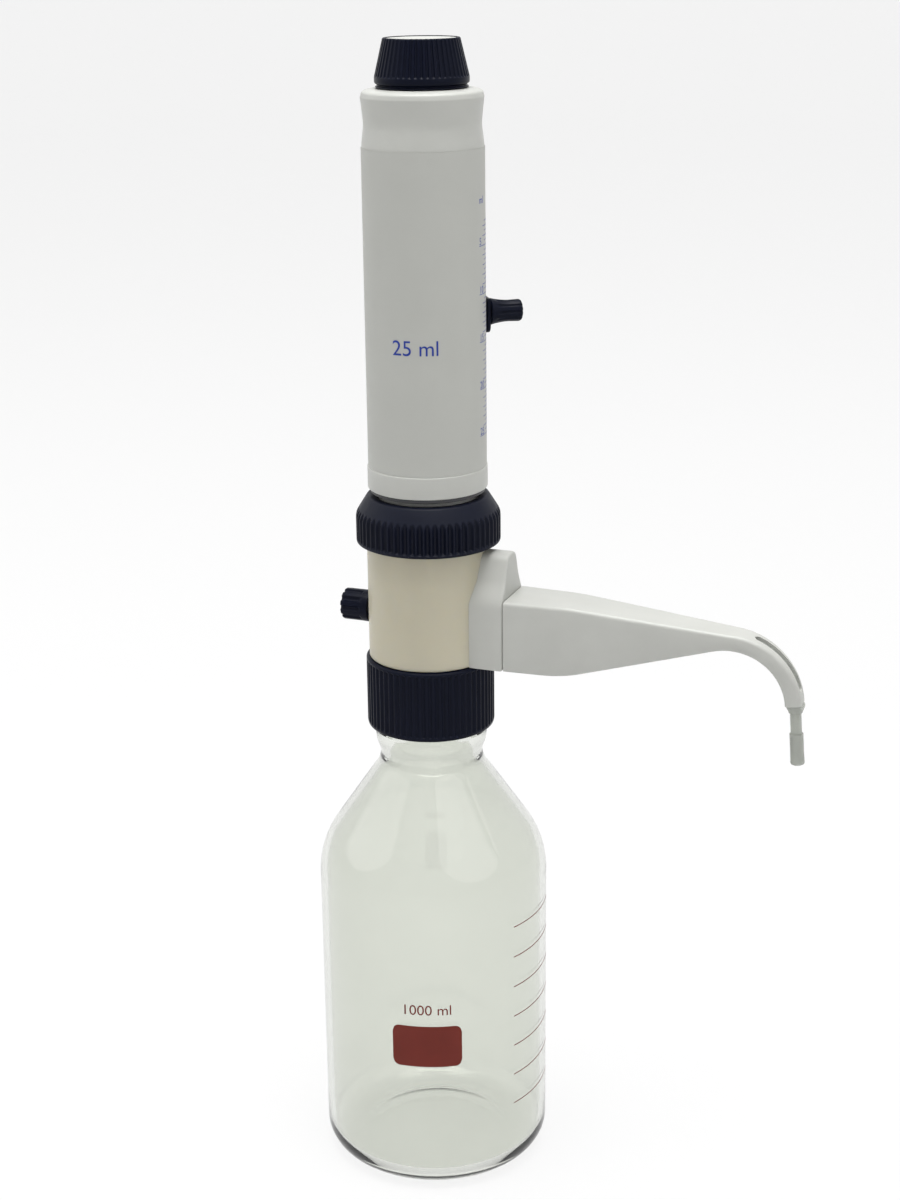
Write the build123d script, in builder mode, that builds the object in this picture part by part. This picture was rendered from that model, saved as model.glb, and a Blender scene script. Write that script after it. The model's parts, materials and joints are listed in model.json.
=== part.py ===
"""Bottle-top dispenser on its reservoir bottle.

A glass bottle carries a valve block under a ribbed nut. A sleeve is pulled up to fill the glass cylinder
and pushed down to dispense through the arm. Sizes are in millimetres. The origin is the centre of the
bottle's base, +Z is up, and the arm points along +X.
"""
import os
from math import asin, atan2, cos, degrees, hypot, radians, sin, sqrt, tan

from build123d import *

os.makedirs("parts", exist_ok=True)

# Fits and gaps
running_gap = 0.08
seat_gap = 0.05
flat_gap = 0.3
parting_gap = 0.3

# Bottle
bottle_r = 50.5
glass_wall = 2.8
base_glass = 4.5
base_rise = 1.8
rest_ring_in = 33.0
heel_r = 11.5
shoulder_z = 134.8
shoulder_r = 40.2
shoulder_lean = 34.4
neck_r = 22.4
neck_fillet_r = 12.7
bead_r = 24.2
bead_rise = 7.5
bead_land = 3.4
bead_slope = 1.2
finish_r = 21.2
finish_edge = 1.3
mouth_r = 17.0
mouth_fillet_r = 8.0
neck_h = 32.8

# Bottle nut
nut_r = 27.6
nut_h = 30.9
nut_bore_r = 23.0
nut_flange_t = 5.2
nut_edge = 1.2
nut_ribs = 60
nut_groove_r = 0.95
nut_groove_depth = 0.7
nut_plain = 1.3

# Valve block
gasket_t = 2.0
block_r = 26.2
block_neck_r = 18.6
block_flange_r = 21.6
block_flange_t = 4.0
block_h = 61.7
plug_r = 16.2
plug_h = 9.0
block_edge = 0.5

# Union nut
union_r = 30.6
union_skirt_h = 12.3
union_cone_h = 8.0
union_top_r = 25.6
union_bore_gap = 0.45
union_bore_r = 22.2
union_below = 10.6
union_grooves = 60
union_groove_r = 1.25
union_groove_depth = 0.85
union_plain = 1.4
union_edge = 0.6

# Glass cylinder, guide tube and stop
bore_r = 9.05
cylinder_wall = 2.35
cylinder_len = 161.0
cylinder_socket = 35.8
cylinder_seal_t = 1.5
guide_r = 20.8
guide_wall = 1.3
guide_len = 141.6
guide_flange_t = 2.95
stop_r = 21.9
stop_h = 4.5
centring_h = 8.0

# Filling valve
valve_bore_r = 6.05
nipple_r = 3.0
nipple_len = 12.0
nipple_bore_r = 1.6
valve_flange_r = 8.0
valve_flange_t = 3.0
ball_seat_h = 16.0
filling_ball_r = 2.5
filling_lift = 1.5
ball_chamber_r = 3.1
cage_t = 2.6
cage_holes = 5
cage_hole_r = 0.9
cage_hole_circle = 4.0

# Discharge valve, tube and arm
outlet_h = 14.4
channel_r = 1.8
outlet_bore_x = 12.0
outlet_r = 5.0
outlet_end_x = 36.0
outlet_seat_len = 2.0
outlet_seat_r = 1.5
discharge_ball_r = 1.9
outlet_chamber_r = 2.42
spring_r = 1.6
spring_wire_r = 0.25
spring_turns = 5
tube_start_x = 25.0
tube_r = 2.35
tube_bore_r = 1.5
bend_x = 132.6
bend_drop = 19.7
bend_tube_r = 27.0
bend_outer_r = 30.2
bend_inner_r = 23.6
tip_lean = 4.5
tip_len = 25.0
arm_h = 30.6
arm_top_fall = 4.75
arm_bottom_rise = 15.5
arm_belly_r = 60.0
arm_back_r = 120.0
arm_half_w = 13.0
arm_end_half_w = 4.2
arm_taper_bow = 0.55
arm_wall = 1.6
arm_edge = 1.8
arm_foot_edge = 0.8
channel_gap = 0.15
slot_w = 4.0
slot_from = 14.0
slot_to = 72.0
slot_round = 1.9
socket_x = 36.5
socket_bend_r = 40.0
cavity_end_x = 128.0

# Cover plate between block and arm
cover_front_x = 38.0
cover_top = 48.7
hump_half_w = 4.6
hump_shoulder_half_w = 8.0
hump_shoulder_drop = 10.0
cover_side_drop = 22.0
hump_corner = 2.2
cover_edge = 1.2

# Tip pieces
cone_top_r = 4.0
cone_foot_r = 2.75
cone_len = 4.0
cone_rim_h = 1.0
cap_grip_len = 12.0
cap_foot_r = 2.95
cap_wall = 0.42
cap_end_t = 1.0
cap_flare_len = 5.0
cap_round = 0.9

# Recirculation valve on the left
spindle_drop = 43.6
spindle_r = 4.0
spindle_in_x = 9.0
spindle_port_x = 14.0
spindle_port_r = 1.2
seal_ring_r = 0.58
seal_groove_r = 2.85
seal_x = (18.0, 22.5)
knob_r = 6.9
knob_len = 12.8
knob_lobes = 10
knob_groove_r = 1.3
knob_groove_depth = 0.75
knob_collar = 3.2
knob_round = 1.2
knob_gap = 0.5
knob_hole = 7.3

# Sleeve
sleeve_r = 24.75
sleeve_wall = 1.95
sleeve_gap = 3.3
sleeve_film_top = 139.9
sleeve_h = 162.7
sleeve_top_t = 4.5
waist_r = 23.75
waist_h = 148.1
rim_drop = 3.1
rim_flat_r = 21.5
rim_round_r = 24.15
rim_round_drop = 1.2
spigot_r = 23.8
foot_ring_r = 25.25
foot_ring_h = 9.5
foot_ring_edge = 0.4
film_t = 0.15
film_gap = 0.02
bush_collar_r = 24.2
bush_collar_h = 1.7
bush_h = 6.5
boss_r = 14.0
boss_wall = 2.0
boss_h = 5.5

# Volume setting
scale_turn = 34.0
stroke = 97.4
full_scale_h = 23.5
slot_half_w = 1.6
slider_half_h = 4.5
slot_end_gap = 0.6
pointer_w = 9.0
pointer_up = 6.0
pointer_down = 8.4
pointer_t = 1.5
pointer_edge = 0.5
pointer_foot_r = 3.2
pointer_gap = 0.25
clamp_w = 10.0
clamp_h = 13.0
clamp_t = 0.4
clamp_gap = 0.2
screw_r = 1.5
screw_in_knob = 8.0
volume_knob_base_r = 5.5
volume_knob_waist_r = 4.4
volume_knob_end_r = 4.55
volume_knob_len = 13.6
volume_knob_round = 1.4
volume_knob_base_h = 1.4
volume_knob_waist_h = 4.2
volume_knob_ribs = 10
volume_groove_r = 0.8
volume_groove_depth = 0.4

# Piston
piston_r = 8.8
piston_len = 128.0
piston_seal_t = 5.0
piston_floor_gap = 0.6
piston_lip = 0.6
rod_r = 4.0
rod_collar_r = 7.0
rod_collar_t = 3.0
calibration_nut_r = 6.0
calibration_nut_t = 3.5
rod_proud = 5.0

# Top cap
cap_band_r = 19.0
cap_top_r = 15.4
cap_h = 19.05
cap_band_low = 1.9
cap_band_high = 4.0
cap_waist_r = 17.9
cap_foot_lip_r = 18.6
cap_foot_lip_h = 0.5
cap_waist_low = 0.9
cap_waist_high = 1.1
cap_shell = 2.4
cap_hollow_r = 11.0
cap_ribs = 50
cap_groove_r = 0.75
cap_groove_depth = 0.55
cap_top_round = 0.7
disc_r = 14.2
disc_t = 0.9
disc_sink = 0.3

# Heights that follow from the sizes above
lean = radians(shoulder_lean)


def neck_height(wall_in, throat_r, fillet_r):
    """Height at which the leaning shoulder ends in an upright neck of radius throat_r."""
    start_r = bottle_r - shoulder_r + (shoulder_r - wall_in) * cos(lean)
    start_z = shoulder_z + (shoulder_r - wall_in) * sin(lean)
    run = (start_r - throat_r - fillet_r * (1 - cos(lean))) / sin(lean)
    return start_z + run * cos(lean) + fillet_r * sin(lean)


neck_z = neck_height(0, neck_r, neck_fillet_r)
throat_z = neck_height(glass_wall, mouth_r, mouth_fillet_r)
rim_z = neck_z + neck_h
block_flange_z = rim_z + seat_gap + gasket_t
nut_flange_z = block_flange_z + block_flange_t + seat_gap
nut_top_z = nut_flange_z + nut_flange_t
nut_z = nut_top_z - nut_h
block_z = nut_top_z + flat_gap
block_top_z = block_z + block_h
plug_z = rim_z - plug_h
union_z = block_top_z - union_below
union_cone_z = union_z + union_skirt_h
union_top_z = union_cone_z + union_cone_h
guide_z = block_top_z + seat_gap
guide_top_z = guide_z + guide_len
cylinder_floor_z = block_top_z - cylinder_socket
cylinder_z = cylinder_floor_z + cylinder_seal_t
cylinder_r = bore_r + cylinder_wall
outlet_z = block_z + outlet_h
spindle_z = block_top_z - spindle_drop
sleeve_z = union_top_z + sleeve_gap
sleeve_top_z = sleeve_z + sleeve_h
sleeve_in_r = sleeve_r - sleeve_wall
film_r = sleeve_r + film_t
setting_z = sleeve_z + full_scale_h + stroke / 2
cover_top_z = block_z + cover_top


def turn(*outline):
    """Turn a closed outline of (radius, height) points about the upright axis."""
    with BuildSketch(Plane.XZ) as section:
        with BuildLine():
            Polyline(*outline, close=True)
        make_face()
    revolve(section.sketch, axis=Axis.Z)


def ring(outer_r, inner_r, low, high):
    """An upright plain ring."""
    with BuildSketch(Plane.XY.offset(low)) as section:
        Circle(outer_r)
        Circle(inner_r, mode=Mode.SUBTRACT)
    extrude(section.sketch, amount=high - low)


def upright_grooves(count, circle_r, groove_r, low, high):
    """Cut round-bottomed upright grooves, evenly spaced on a circle."""
    with BuildSketch(Plane.XY.offset(low)) as section:
        with PolarLocations(circle_r, count):
            Circle(groove_r)
    extrude(section.sketch, amount=high - low, mode=Mode.SUBTRACT)


# Bottle: heel, wall, shoulder, leaning cone, neck bead and plain finish, turned as one glass section
def shoulder_line(wall_in, throat_r, fillet_r, throat):
    """Lines of one glass surface from the wall's top to the foot of the neck."""
    arc = CenterArc((bottle_r - shoulder_r, shoulder_z), shoulder_r - wall_in, 0, shoulder_lean)
    blend = CenterArc((throat_r + fillet_r, throat), fillet_r, 180 + shoulder_lean, -shoulder_lean)
    Line(arc @ 1, blend @ 0)


heel_in_r = heel_r - glass_wall
wall_in_r = bottle_r - glass_wall
bead_z = neck_z + bead_rise
bead_top_z = bead_z + bead_land
finish_z = bead_top_z + bead_slope
with BuildPart() as bottle:
    with BuildSketch(Plane.XZ):
        with BuildLine():
            Polyline((0, base_glass + base_rise), (0, base_rise), (rest_ring_in, 0), (bottle_r - heel_r, 0))
            CenterArc((bottle_r - heel_r, heel_r), heel_r, -90, 90)
            Line((bottle_r, heel_r), (bottle_r, shoulder_z))
            shoulder_line(0, neck_r, neck_fillet_r, neck_z)
            Spline((neck_r, neck_z), (bead_r, bead_z), tangents=((0, 1), (0, 1)))
            Polyline(
                (bead_r, bead_z),
                (bead_r, bead_top_z),
                (finish_r, finish_z),
                (finish_r, rim_z - finish_edge),
                (finish_r - finish_edge, rim_z),
                (mouth_r + finish_edge / 2, rim_z),
                (mouth_r, rim_z - finish_edge / 2),
                (mouth_r, throat_z),
            )
            shoulder_line(glass_wall, mouth_r, mouth_fillet_r, throat_z)
            Line((wall_in_r, shoulder_z), (wall_in_r, base_glass + heel_in_r))
            CenterArc((wall_in_r - heel_in_r, base_glass + heel_in_r), heel_in_r, 0, -90)
            Line((wall_in_r - heel_in_r, base_glass), (0, base_glass + base_rise))
        make_face()
    revolve(axis=Axis.Z)
bottle.part.label = "bottle"
export_step(bottle.part, "parts/bottle.step")

# Bottle nut: ribbed skirt with a flange that holds the block's flange down
with BuildPart() as bottle_nut:
    turn(
        (nut_bore_r, nut_z),
        (nut_r - nut_edge, nut_z),
        (nut_r, nut_z + nut_edge),
        (nut_r, nut_top_z - nut_edge / 2),
        (nut_r - nut_edge / 2, nut_top_z),
        (block_neck_r + flat_gap, nut_top_z),
        (block_neck_r + flat_gap, nut_flange_z),
        (nut_bore_r, nut_flange_z),
    )
    upright_grooves(
        nut_ribs,
        nut_r - nut_groove_depth + nut_groove_r,
        nut_groove_r,
        nut_z + nut_plain,
        nut_top_z - nut_plain,
    )
bottle_nut.part.label = "bottle_nut"
export_step(bottle_nut.part, "parts/bottle_nut.step")

# Valve block: plug in the bottle mouth, flange under the nut, body, and bores for the valves
with BuildPart() as valve_block:
    turn(
        (0, plug_z),
        (plug_r - block_edge, plug_z),
        (plug_r, plug_z + block_edge),
        (plug_r, block_flange_z),
        (block_flange_r, block_flange_z),
        (block_flange_r, block_flange_z + block_flange_t),
        (block_neck_r, block_flange_z + block_flange_t),
        (block_neck_r, block_z),
        (block_r - block_edge, block_z),
        (block_r, block_z + block_edge),
        (block_r, block_top_z),
        (0, block_top_z),
    )
    with BuildSketch(Plane.XY.offset(plug_z)):
        Circle(valve_bore_r)
    extrude(amount=block_top_z - plug_z, mode=Mode.SUBTRACT)
    with BuildSketch(Plane.XY.offset(cylinder_floor_z)):
        Circle(cylinder_r + running_gap)
    extrude(amount=cylinder_socket, mode=Mode.SUBTRACT)
    with BuildSketch(Plane.YZ):
        with Locations((0, outlet_z)):
            Circle(channel_r)
    extrude(amount=block_r, mode=Mode.SUBTRACT)
    with BuildSketch(Plane.YZ.offset(outlet_bore_x)):
        with Locations((0, outlet_z)):
            Circle(outlet_r + seat_gap)
    extrude(amount=block_r, mode=Mode.SUBTRACT)
    with BuildSketch(Plane.YZ):
        with Locations((0, spindle_z)):
            Circle(channel_r)
    extrude(amount=-spindle_in_x, mode=Mode.SUBTRACT)
    with BuildSketch(Plane.YZ.offset(-spindle_in_x + flat_gap)):
        with Locations((0, spindle_z)):
            Circle(spindle_r + running_gap)
    extrude(amount=-block_r, mode=Mode.SUBTRACT)
    with BuildSketch(Plane.XY.offset(plug_z)):
        with Locations((-spindle_port_x, 0)):
            Circle(spindle_port_r)
    extrude(amount=spindle_z - plug_z, mode=Mode.SUBTRACT)
valve_block.part.label = "valve_block"
export_step(valve_block.part, "parts/valve_block.step")

with BuildPart() as bottle_gasket:
    ring(finish_r, plug_r + flat_gap, rim_z + seat_gap, block_flange_z)
bottle_gasket.part.label = "bottle_gasket"
export_step(bottle_gasket.part, "parts/bottle_gasket.step")

# Union nut: knurled skirt under a smooth cone, where the grooves run out in a scalloped line
with BuildPart() as union_nut:
    turn(
        (block_r + union_bore_gap, union_z),
        (union_r - union_edge, union_z),
        (union_r, union_z + union_edge),
        (union_r, union_cone_z),
        (union_top_r, union_top_z),
        (union_bore_r, union_top_z),
        (union_bore_r, guide_z + guide_flange_t + seat_gap),
        (block_r + union_bore_gap, guide_z + guide_flange_t + seat_gap),
    )
    upright_grooves(
        union_grooves,
        union_r - union_groove_depth + union_groove_r,
        union_groove_r,
        union_z + union_plain,
        union_top_z,
    )
union_nut.part.label = "union_nut"
export_step(union_nut.part, "parts/union_nut.step")

# Guide tube: flange held under the union nut, with the stop ring at its top
with BuildPart() as guide_tube:
    ring(guide_r, guide_r - guide_wall, guide_z, guide_top_z)
    ring(block_r - block_edge, guide_r - guide_wall, guide_z, guide_z + guide_flange_t)
guide_tube.part.label = "guide_tube"
export_step(guide_tube.part, "parts/guide_tube.step")

with BuildPart() as stop_ring:
    ring(stop_r, guide_r + seat_gap, guide_top_z - stop_h, guide_top_z)
stop_ring.part.label = "stop_ring"
export_step(stop_ring.part, "parts/stop_ring.step")

# Glass cylinder on its seal, steadied at the top by a ring in the guide tube
with BuildPart() as glass_cylinder:
    ring(cylinder_r, bore_r, cylinder_z + seat_gap, cylinder_z + cylinder_len)
glass_cylinder.part.label = "glass_cylinder"
export_step(glass_cylinder.part, "parts/glass_cylinder.step")

with BuildPart() as cylinder_seal:
    ring(cylinder_r, bore_r + flat_gap, cylinder_floor_z, cylinder_z)
cylinder_seal.part.label = "cylinder_seal"
export_step(cylinder_seal.part, "parts/cylinder_seal.step")

with BuildPart() as centring_ring:
    ring(
        guide_r - guide_wall - seat_gap,
        cylinder_r + seat_gap,
        cylinder_z + cylinder_len - centring_h,
        cylinder_z + cylinder_len,
    )
centring_ring.part.label = "centring_ring"
export_step(centring_ring.part, "parts/centring_ring.step")

# Filling valve: nipple below the block, conical flow path, ball on its seat, and the cage over it
valve_body_r = valve_bore_r - seat_gap
ball_seat_z = plug_z + ball_seat_h
filling_ball_z = ball_seat_z + sqrt(filling_ball_r**2 - nipple_bore_r**2) + running_gap
cage_z = filling_ball_z + filling_ball_r + filling_lift + flat_gap
nipple_z = plug_z - valve_flange_t - nipple_len
with BuildPart() as filling_valve_body:
    turn(
        (nipple_bore_r, nipple_z),
        (nipple_r, nipple_z),
        (nipple_r, plug_z - valve_flange_t - seat_gap),
        (valve_flange_r, plug_z - valve_flange_t - seat_gap),
        (valve_flange_r, plug_z - seat_gap),
        (valve_body_r, plug_z - seat_gap),
        (valve_body_r, cage_z - seat_gap),
        (ball_chamber_r, cage_z - seat_gap),
        (ball_chamber_r, ball_seat_z),
        (nipple_bore_r, ball_seat_z),
    )
filling_valve_body.part.label = "filling_valve_body"
export_step(filling_valve_body.part, "parts/filling_valve_body.step")

with BuildPart() as filling_ball:
    with BuildSketch(Plane.XZ):
        with BuildLine():
            half = CenterArc((0, filling_ball_z), filling_ball_r, -90, 180)
            Line(half @ 1, half @ 0)
        make_face()
    revolve(axis=Axis.Z)
filling_ball.part.label = "filling_ball"
export_step(filling_ball.part, "parts/filling_ball.step")

with BuildPart() as filling_valve_cage:
    with BuildSketch(Plane.XY.offset(cage_z)):
        Circle(valve_body_r)
        with PolarLocations(cage_hole_circle, cage_holes):
            Circle(cage_hole_r, mode=Mode.SUBTRACT)
    extrude(amount=cage_t)
filling_valve_cage.part.label = "filling_valve_cage"
export_step(filling_valve_cage.part, "parts/filling_valve_cage.step")

# Discharge valve: cartridge in the block's side, with a sprung ball that opens towards the arm
outlet_seat_x = outlet_bore_x + outlet_seat_len
discharge_ball_x = outlet_seat_x + sqrt(discharge_ball_r**2 - outlet_seat_r**2) + running_gap


def turn_along_x(axis_z, *outline):
    """Turn a closed outline of (x, radius) points about a level axis at height axis_z."""
    with BuildSketch(Plane.XZ) as section:
        with BuildLine():
            Polyline(*[(x, axis_z + r) for x, r in outline], close=True)
        make_face()
    revolve(section.sketch, axis=Axis((0, 0, axis_z), (1, 0, 0)))


with BuildPart() as discharge_valve_body:
    turn_along_x(
        outlet_z,
        (outlet_bore_x + seat_gap, outlet_seat_r),
        (outlet_bore_x + seat_gap, outlet_r),
        (outlet_end_x, outlet_r),
        (outlet_end_x, outlet_chamber_r),
        (outlet_seat_x, outlet_chamber_r),
        (outlet_seat_x, outlet_seat_r),
    )
discharge_valve_body.part.label = "discharge_valve_body"
export_step(discharge_valve_body.part, "parts/discharge_valve_body.step")

with BuildPart() as discharge_ball:
    with BuildSketch(Plane.XZ):
        with BuildLine():
            half = CenterArc((discharge_ball_x, outlet_z), discharge_ball_r, 0, 180)
            Line(half @ 1, half @ 0)
        make_face()
    revolve(axis=Axis((0, 0, outlet_z), (1, 0, 0)))
discharge_ball.part.label = "discharge_ball"
export_step(discharge_ball.part, "parts/discharge_ball.step")

spring_reach = sqrt(discharge_ball_r**2 - (spring_r - spring_wire_r) ** 2)
spring_x = discharge_ball_x + spring_reach + spring_wire_r + running_gap
spring_len = tube_start_x - spring_x - spring_wire_r - running_gap
spring_pitch = spring_len / spring_turns
spring_from = (spring_x, 0, outlet_z)
with BuildPart() as discharge_spring:
    with BuildLine():
        coil = Helix(spring_pitch, spring_len, spring_r, center=spring_from, direction=(1, 0, 0))
    with BuildSketch(Plane(origin=coil @ 0, z_dir=coil % 0)):
        Circle(spring_wire_r)
    sweep(path=coil, is_frenet=True)
discharge_spring.part.label = "discharge_spring"
export_step(discharge_spring.part, "parts/discharge_spring.step")

# Discharge tube: level in the valve, a slight rise through the arm, a round bend and a leaning tip
bend_z = outlet_z - bend_drop
arm_top_z = block_z + arm_h
tip_turn = radians(tip_lean)
tip_axis = (sin(tip_turn), 0, -cos(tip_turn))
bend_end = (bend_x + bend_tube_r * cos(tip_turn), 0, bend_z + bend_tube_r * sin(tip_turn))
tip_plane = Plane(origin=bend_end, x_dir=(cos(tip_turn), 0, sin(tip_turn)), z_dir=(0, 1, 0))
rise_x = bend_x - socket_x
rise_z = bend_z - outlet_z - socket_bend_r
tube_rise = degrees(atan2(rise_z, rise_x) + asin((socket_bend_r + bend_tube_r) / hypot(rise_x, rise_z)))


def tube_run(outer_r, inner_r):
    """Sweep a round section along the tube's whole path; inner_r 0 gives a solid run."""
    with BuildLine(Plane.XZ) as path:
        lift = CenterArc((socket_x, outlet_z + socket_bend_r), socket_bend_r, -90, tube_rise)
        bend = CenterArc((bend_x, bend_z), bend_tube_r, 90 + tube_rise, tip_lean - 90 - tube_rise)
        Line((tube_start_x, outlet_z), lift @ 0)
        Line(lift @ 1, bend @ 0)
        Line(bend @ 1, Vector(bend_end) + Vector(tip_axis) * tip_len)
    with BuildSketch(Plane.YZ.offset(tube_start_x)) as section:
        with Locations((0, outlet_z)):
            Circle(outer_r)
            if inner_r > 0:
                Circle(inner_r, mode=Mode.SUBTRACT)
    sweep(section.sketch, path=path.line)


with BuildPart() as discharge_tube:
    tube_run(tube_r, tube_bore_r)
discharge_tube.part.label = "discharge_tube"
export_step(discharge_tube.part, "parts/discharge_tube.step")


# Arm: a tapered hollow casing with a rounded top, bent down at its end, and slotted over the bend
def arm_form(inset, end_x):
    """The arm's outer form drawn inset by a wall, from the cover's front to end_x."""
    under_r = bend_inner_r + inset
    over_r = bend_outer_r - inset
    low_z = block_z + inset
    high_z = arm_top_z - inset
    rise = radians(arm_bottom_rise)
    fall = radians(arm_top_fall)
    belly_x = bend_x - under_r * sin(rise) - (bend_z + under_r * cos(rise) - low_z) / tan(rise)
    back_x = bend_x + over_r * sin(fall) - (high_z - bend_z - over_r * cos(fall)) / tan(fall)
    bend_at = (bend_x, bend_z)
    belly_r = arm_belly_r - inset
    back_r = arm_back_r - inset
    belly_x = belly_x - belly_r * tan(rise / 2)
    back_x = back_x - back_r * tan(fall / 2)
    with BuildSketch(Plane.XZ) as side:
        with BuildLine():
            belly = CenterArc((belly_x, low_z + belly_r), belly_r, -90, arm_bottom_rise)
            under = CenterArc(bend_at, under_r, 90 + arm_bottom_rise, tip_lean - 90 - arm_bottom_rise)
            over = CenterArc(bend_at, over_r, 90 - arm_top_fall, tip_lean - 90 + arm_top_fall)
            back = CenterArc((back_x, high_z - back_r), back_r, 90, -arm_top_fall)
            Polyline(belly @ 0, (cover_front_x, low_z), (cover_front_x, high_z), back @ 0)
            Line(belly @ 1, under @ 0)
            Line(under @ 1, over @ 1)
            Line(back @ 1, over @ 0)
        make_face()
    extrude(side.sketch, amount=arm_half_w, both=True)
    far_x = bend_x + bend_outer_r
    mid_x = (cover_front_x + far_x) / 2
    near_w = arm_half_w - inset
    far_w = arm_end_half_w - inset
    mid_w = (near_w + far_w) / 2 + arm_taper_bow
    slope = (near_w - far_w) / (far_x - cover_front_x)
    with BuildSketch(Plane.XY.offset(bend_z)) as plan:
        with BuildLine():
            left = ThreePointArc((cover_front_x, near_w), (mid_x, mid_w), (far_x, far_w))
            right = ThreePointArc((cover_front_x, -near_w), (mid_x, -mid_w), (far_x, -far_w))
            Line(left @ 0, right @ 0)
            Polyline(left @ 1, (far_x + 1, far_w - slope), (far_x + 1, slope - far_w), right @ 1)
        make_face()
        with Locations((end_x, 0)):
            Rectangle(bend_x, arm_half_w * 2, align=(Align.MIN, Align.CENTER), mode=Mode.SUBTRACT)
    extrude(plan.sketch, amount=arm_top_z - bend_z, mode=Mode.INTERSECT)


def runs_along_arm(edge):
    """True for the long edges between the arm's sides and its top or underside."""
    middle = edge @ 0.5
    return abs(middle.Y) > 1 and middle.X > cover_front_x + 1 and middle.Z > bend_z + 4


def above_tube(edge):
    """True for an edge on the arm's top or on the outside of its bend."""
    middle = edge @ 0.5
    return hypot(max(middle.X - bend_x, 0), middle.Z - bend_z) > bend_tube_r


with BuildPart() as arm_cavity:
    arm_form(arm_wall, cavity_end_x)

with BuildPart() as tube_channel:
    tube_run(tube_r + channel_gap, 0)

with BuildPart() as bend_slot:
    with BuildSketch(Plane.XZ):
        with BuildLine():
            low = CenterArc((bend_x, bend_z), bend_tube_r, slot_from, slot_to - slot_from)
            high = CenterArc((bend_x, bend_z), bend_outer_r + 1, slot_from, slot_to - slot_from)
            Line(low @ 0, high @ 0)
            Line(low @ 1, high @ 1)
        make_face()
    extrude(amount=slot_w / 2, both=True)
    corners = bend_slot.edges().filter_by(lambda edge: abs((edge @ 0.5).Y) > 1)
    fillet(corners.filter_by(GeomType.LINE), slot_round)

with BuildPart() as arm_casing:
    arm_form(0, bend_x * 2)
    long_edges = arm_casing.edges().filter_by(runs_along_arm)
    fillet(long_edges.filter_by(above_tube), arm_edge)
    long_edges = arm_casing.edges().filter_by(runs_along_arm)
    fillet(long_edges.filter_by(lambda edge: not above_tube(edge)), arm_foot_edge)
    add(arm_cavity.part, mode=Mode.SUBTRACT)
    add(tube_channel.part, mode=Mode.SUBTRACT)
    add(bend_slot.part, mode=Mode.SUBTRACT)
arm_casing.part.label = "arm_casing"
export_step(arm_casing.part, "parts/arm_casing.step")

# Cover plate: a humped shape that closes the arm's open end and sits on the block's round side
cover_back_x = sqrt(block_r**2 - arm_half_w**2) - 1
hump_z = cover_top_z - hump_shoulder_drop
side_z = cover_top_z - cover_side_drop
hump_out = (hump_shoulder_half_w - hump_half_w, -hump_shoulder_drop)
with BuildPart() as base_cover:
    with BuildSketch(Plane.YZ.offset(cover_front_x - parting_gap)):
        with BuildLine():
            FilletPolyline(
                (-hump_shoulder_half_w, hump_z),
                (-hump_half_w, cover_top_z),
                (hump_half_w, cover_top_z),
                (hump_shoulder_half_w, hump_z),
                radius=hump_corner,
            )
            Spline(
                (hump_shoulder_half_w, hump_z),
                (arm_half_w, side_z),
                tangents=(hump_out, (0, -1)),
            )
            Spline(
                (-hump_shoulder_half_w, hump_z),
                (-arm_half_w, side_z),
                tangents=((-hump_out[0], hump_out[1]), (0, -1)),
            )
            Polyline(
                (arm_half_w, side_z),
                (arm_half_w, block_z),
                (-arm_half_w, block_z),
                (-arm_half_w, side_z),
            )
        make_face()
    extrude(amount=cover_back_x - cover_front_x)
    front = base_cover.faces().sort_by(Axis.X)[-1]
    fillet(front.edges(), cover_edge)
    with BuildSketch(Plane.XY.offset(block_z - 1)):
        Circle(block_r + seat_gap)
    extrude(amount=cover_top + 2, mode=Mode.SUBTRACT)
    with BuildSketch(Plane.YZ):
        with Locations((0, outlet_z)):
            Circle(outlet_r + seat_gap)
    extrude(amount=cover_front_x, mode=Mode.SUBTRACT)
base_cover.part.label = "base_cover"
export_step(base_cover.part, "parts/base_cover.step")


# Tip: a fixed funnel under the arm's end, and a closing cap pushed on the tube
def turn_about_tip(*outline):
    """Turn a closed outline of (radius, distance from the arm's end) points about the tip's axis."""
    with BuildSketch(tip_plane) as section:
        with BuildLine():
            Polyline(*outline, close=True)
        make_face()
    revolve(section.sketch, axis=Axis(bend_end, tip_axis))


with BuildPart() as nozzle_cone:
    turn_about_tip(
        (tube_r + seat_gap, seat_gap),
        (cone_top_r, seat_gap),
        (cone_top_r, cone_rim_h),
        (cone_foot_r, cone_len),
        (tube_r + seat_gap, cone_len),
    )
nozzle_cone.part.label = "nozzle_cone"
export_step(nozzle_cone.part, "parts/nozzle_cone.step")

cap_end = tip_len + flat_gap + cap_end_t
cap_in_r = tube_r + running_gap
with BuildPart() as tip_cap:
    turn_about_tip(
        (cap_in_r, tip_len - cap_grip_len),
        (cap_in_r + cap_wall, tip_len - cap_grip_len),
        (cap_in_r + cap_wall, cap_end - cap_flare_len),
        (cap_foot_r, cap_end - cap_round),
        (cap_foot_r - cap_round * 0.3, cap_end - cap_round * 0.3),
        (cap_foot_r - cap_round, cap_end),
        (0, cap_end),
        (0, tip_len + flat_gap),
        (cap_in_r, tip_len + flat_gap),
    )
tip_cap.part.label = "tip_cap"
export_step(tip_cap.part, "parts/tip_cap.step")

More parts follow.
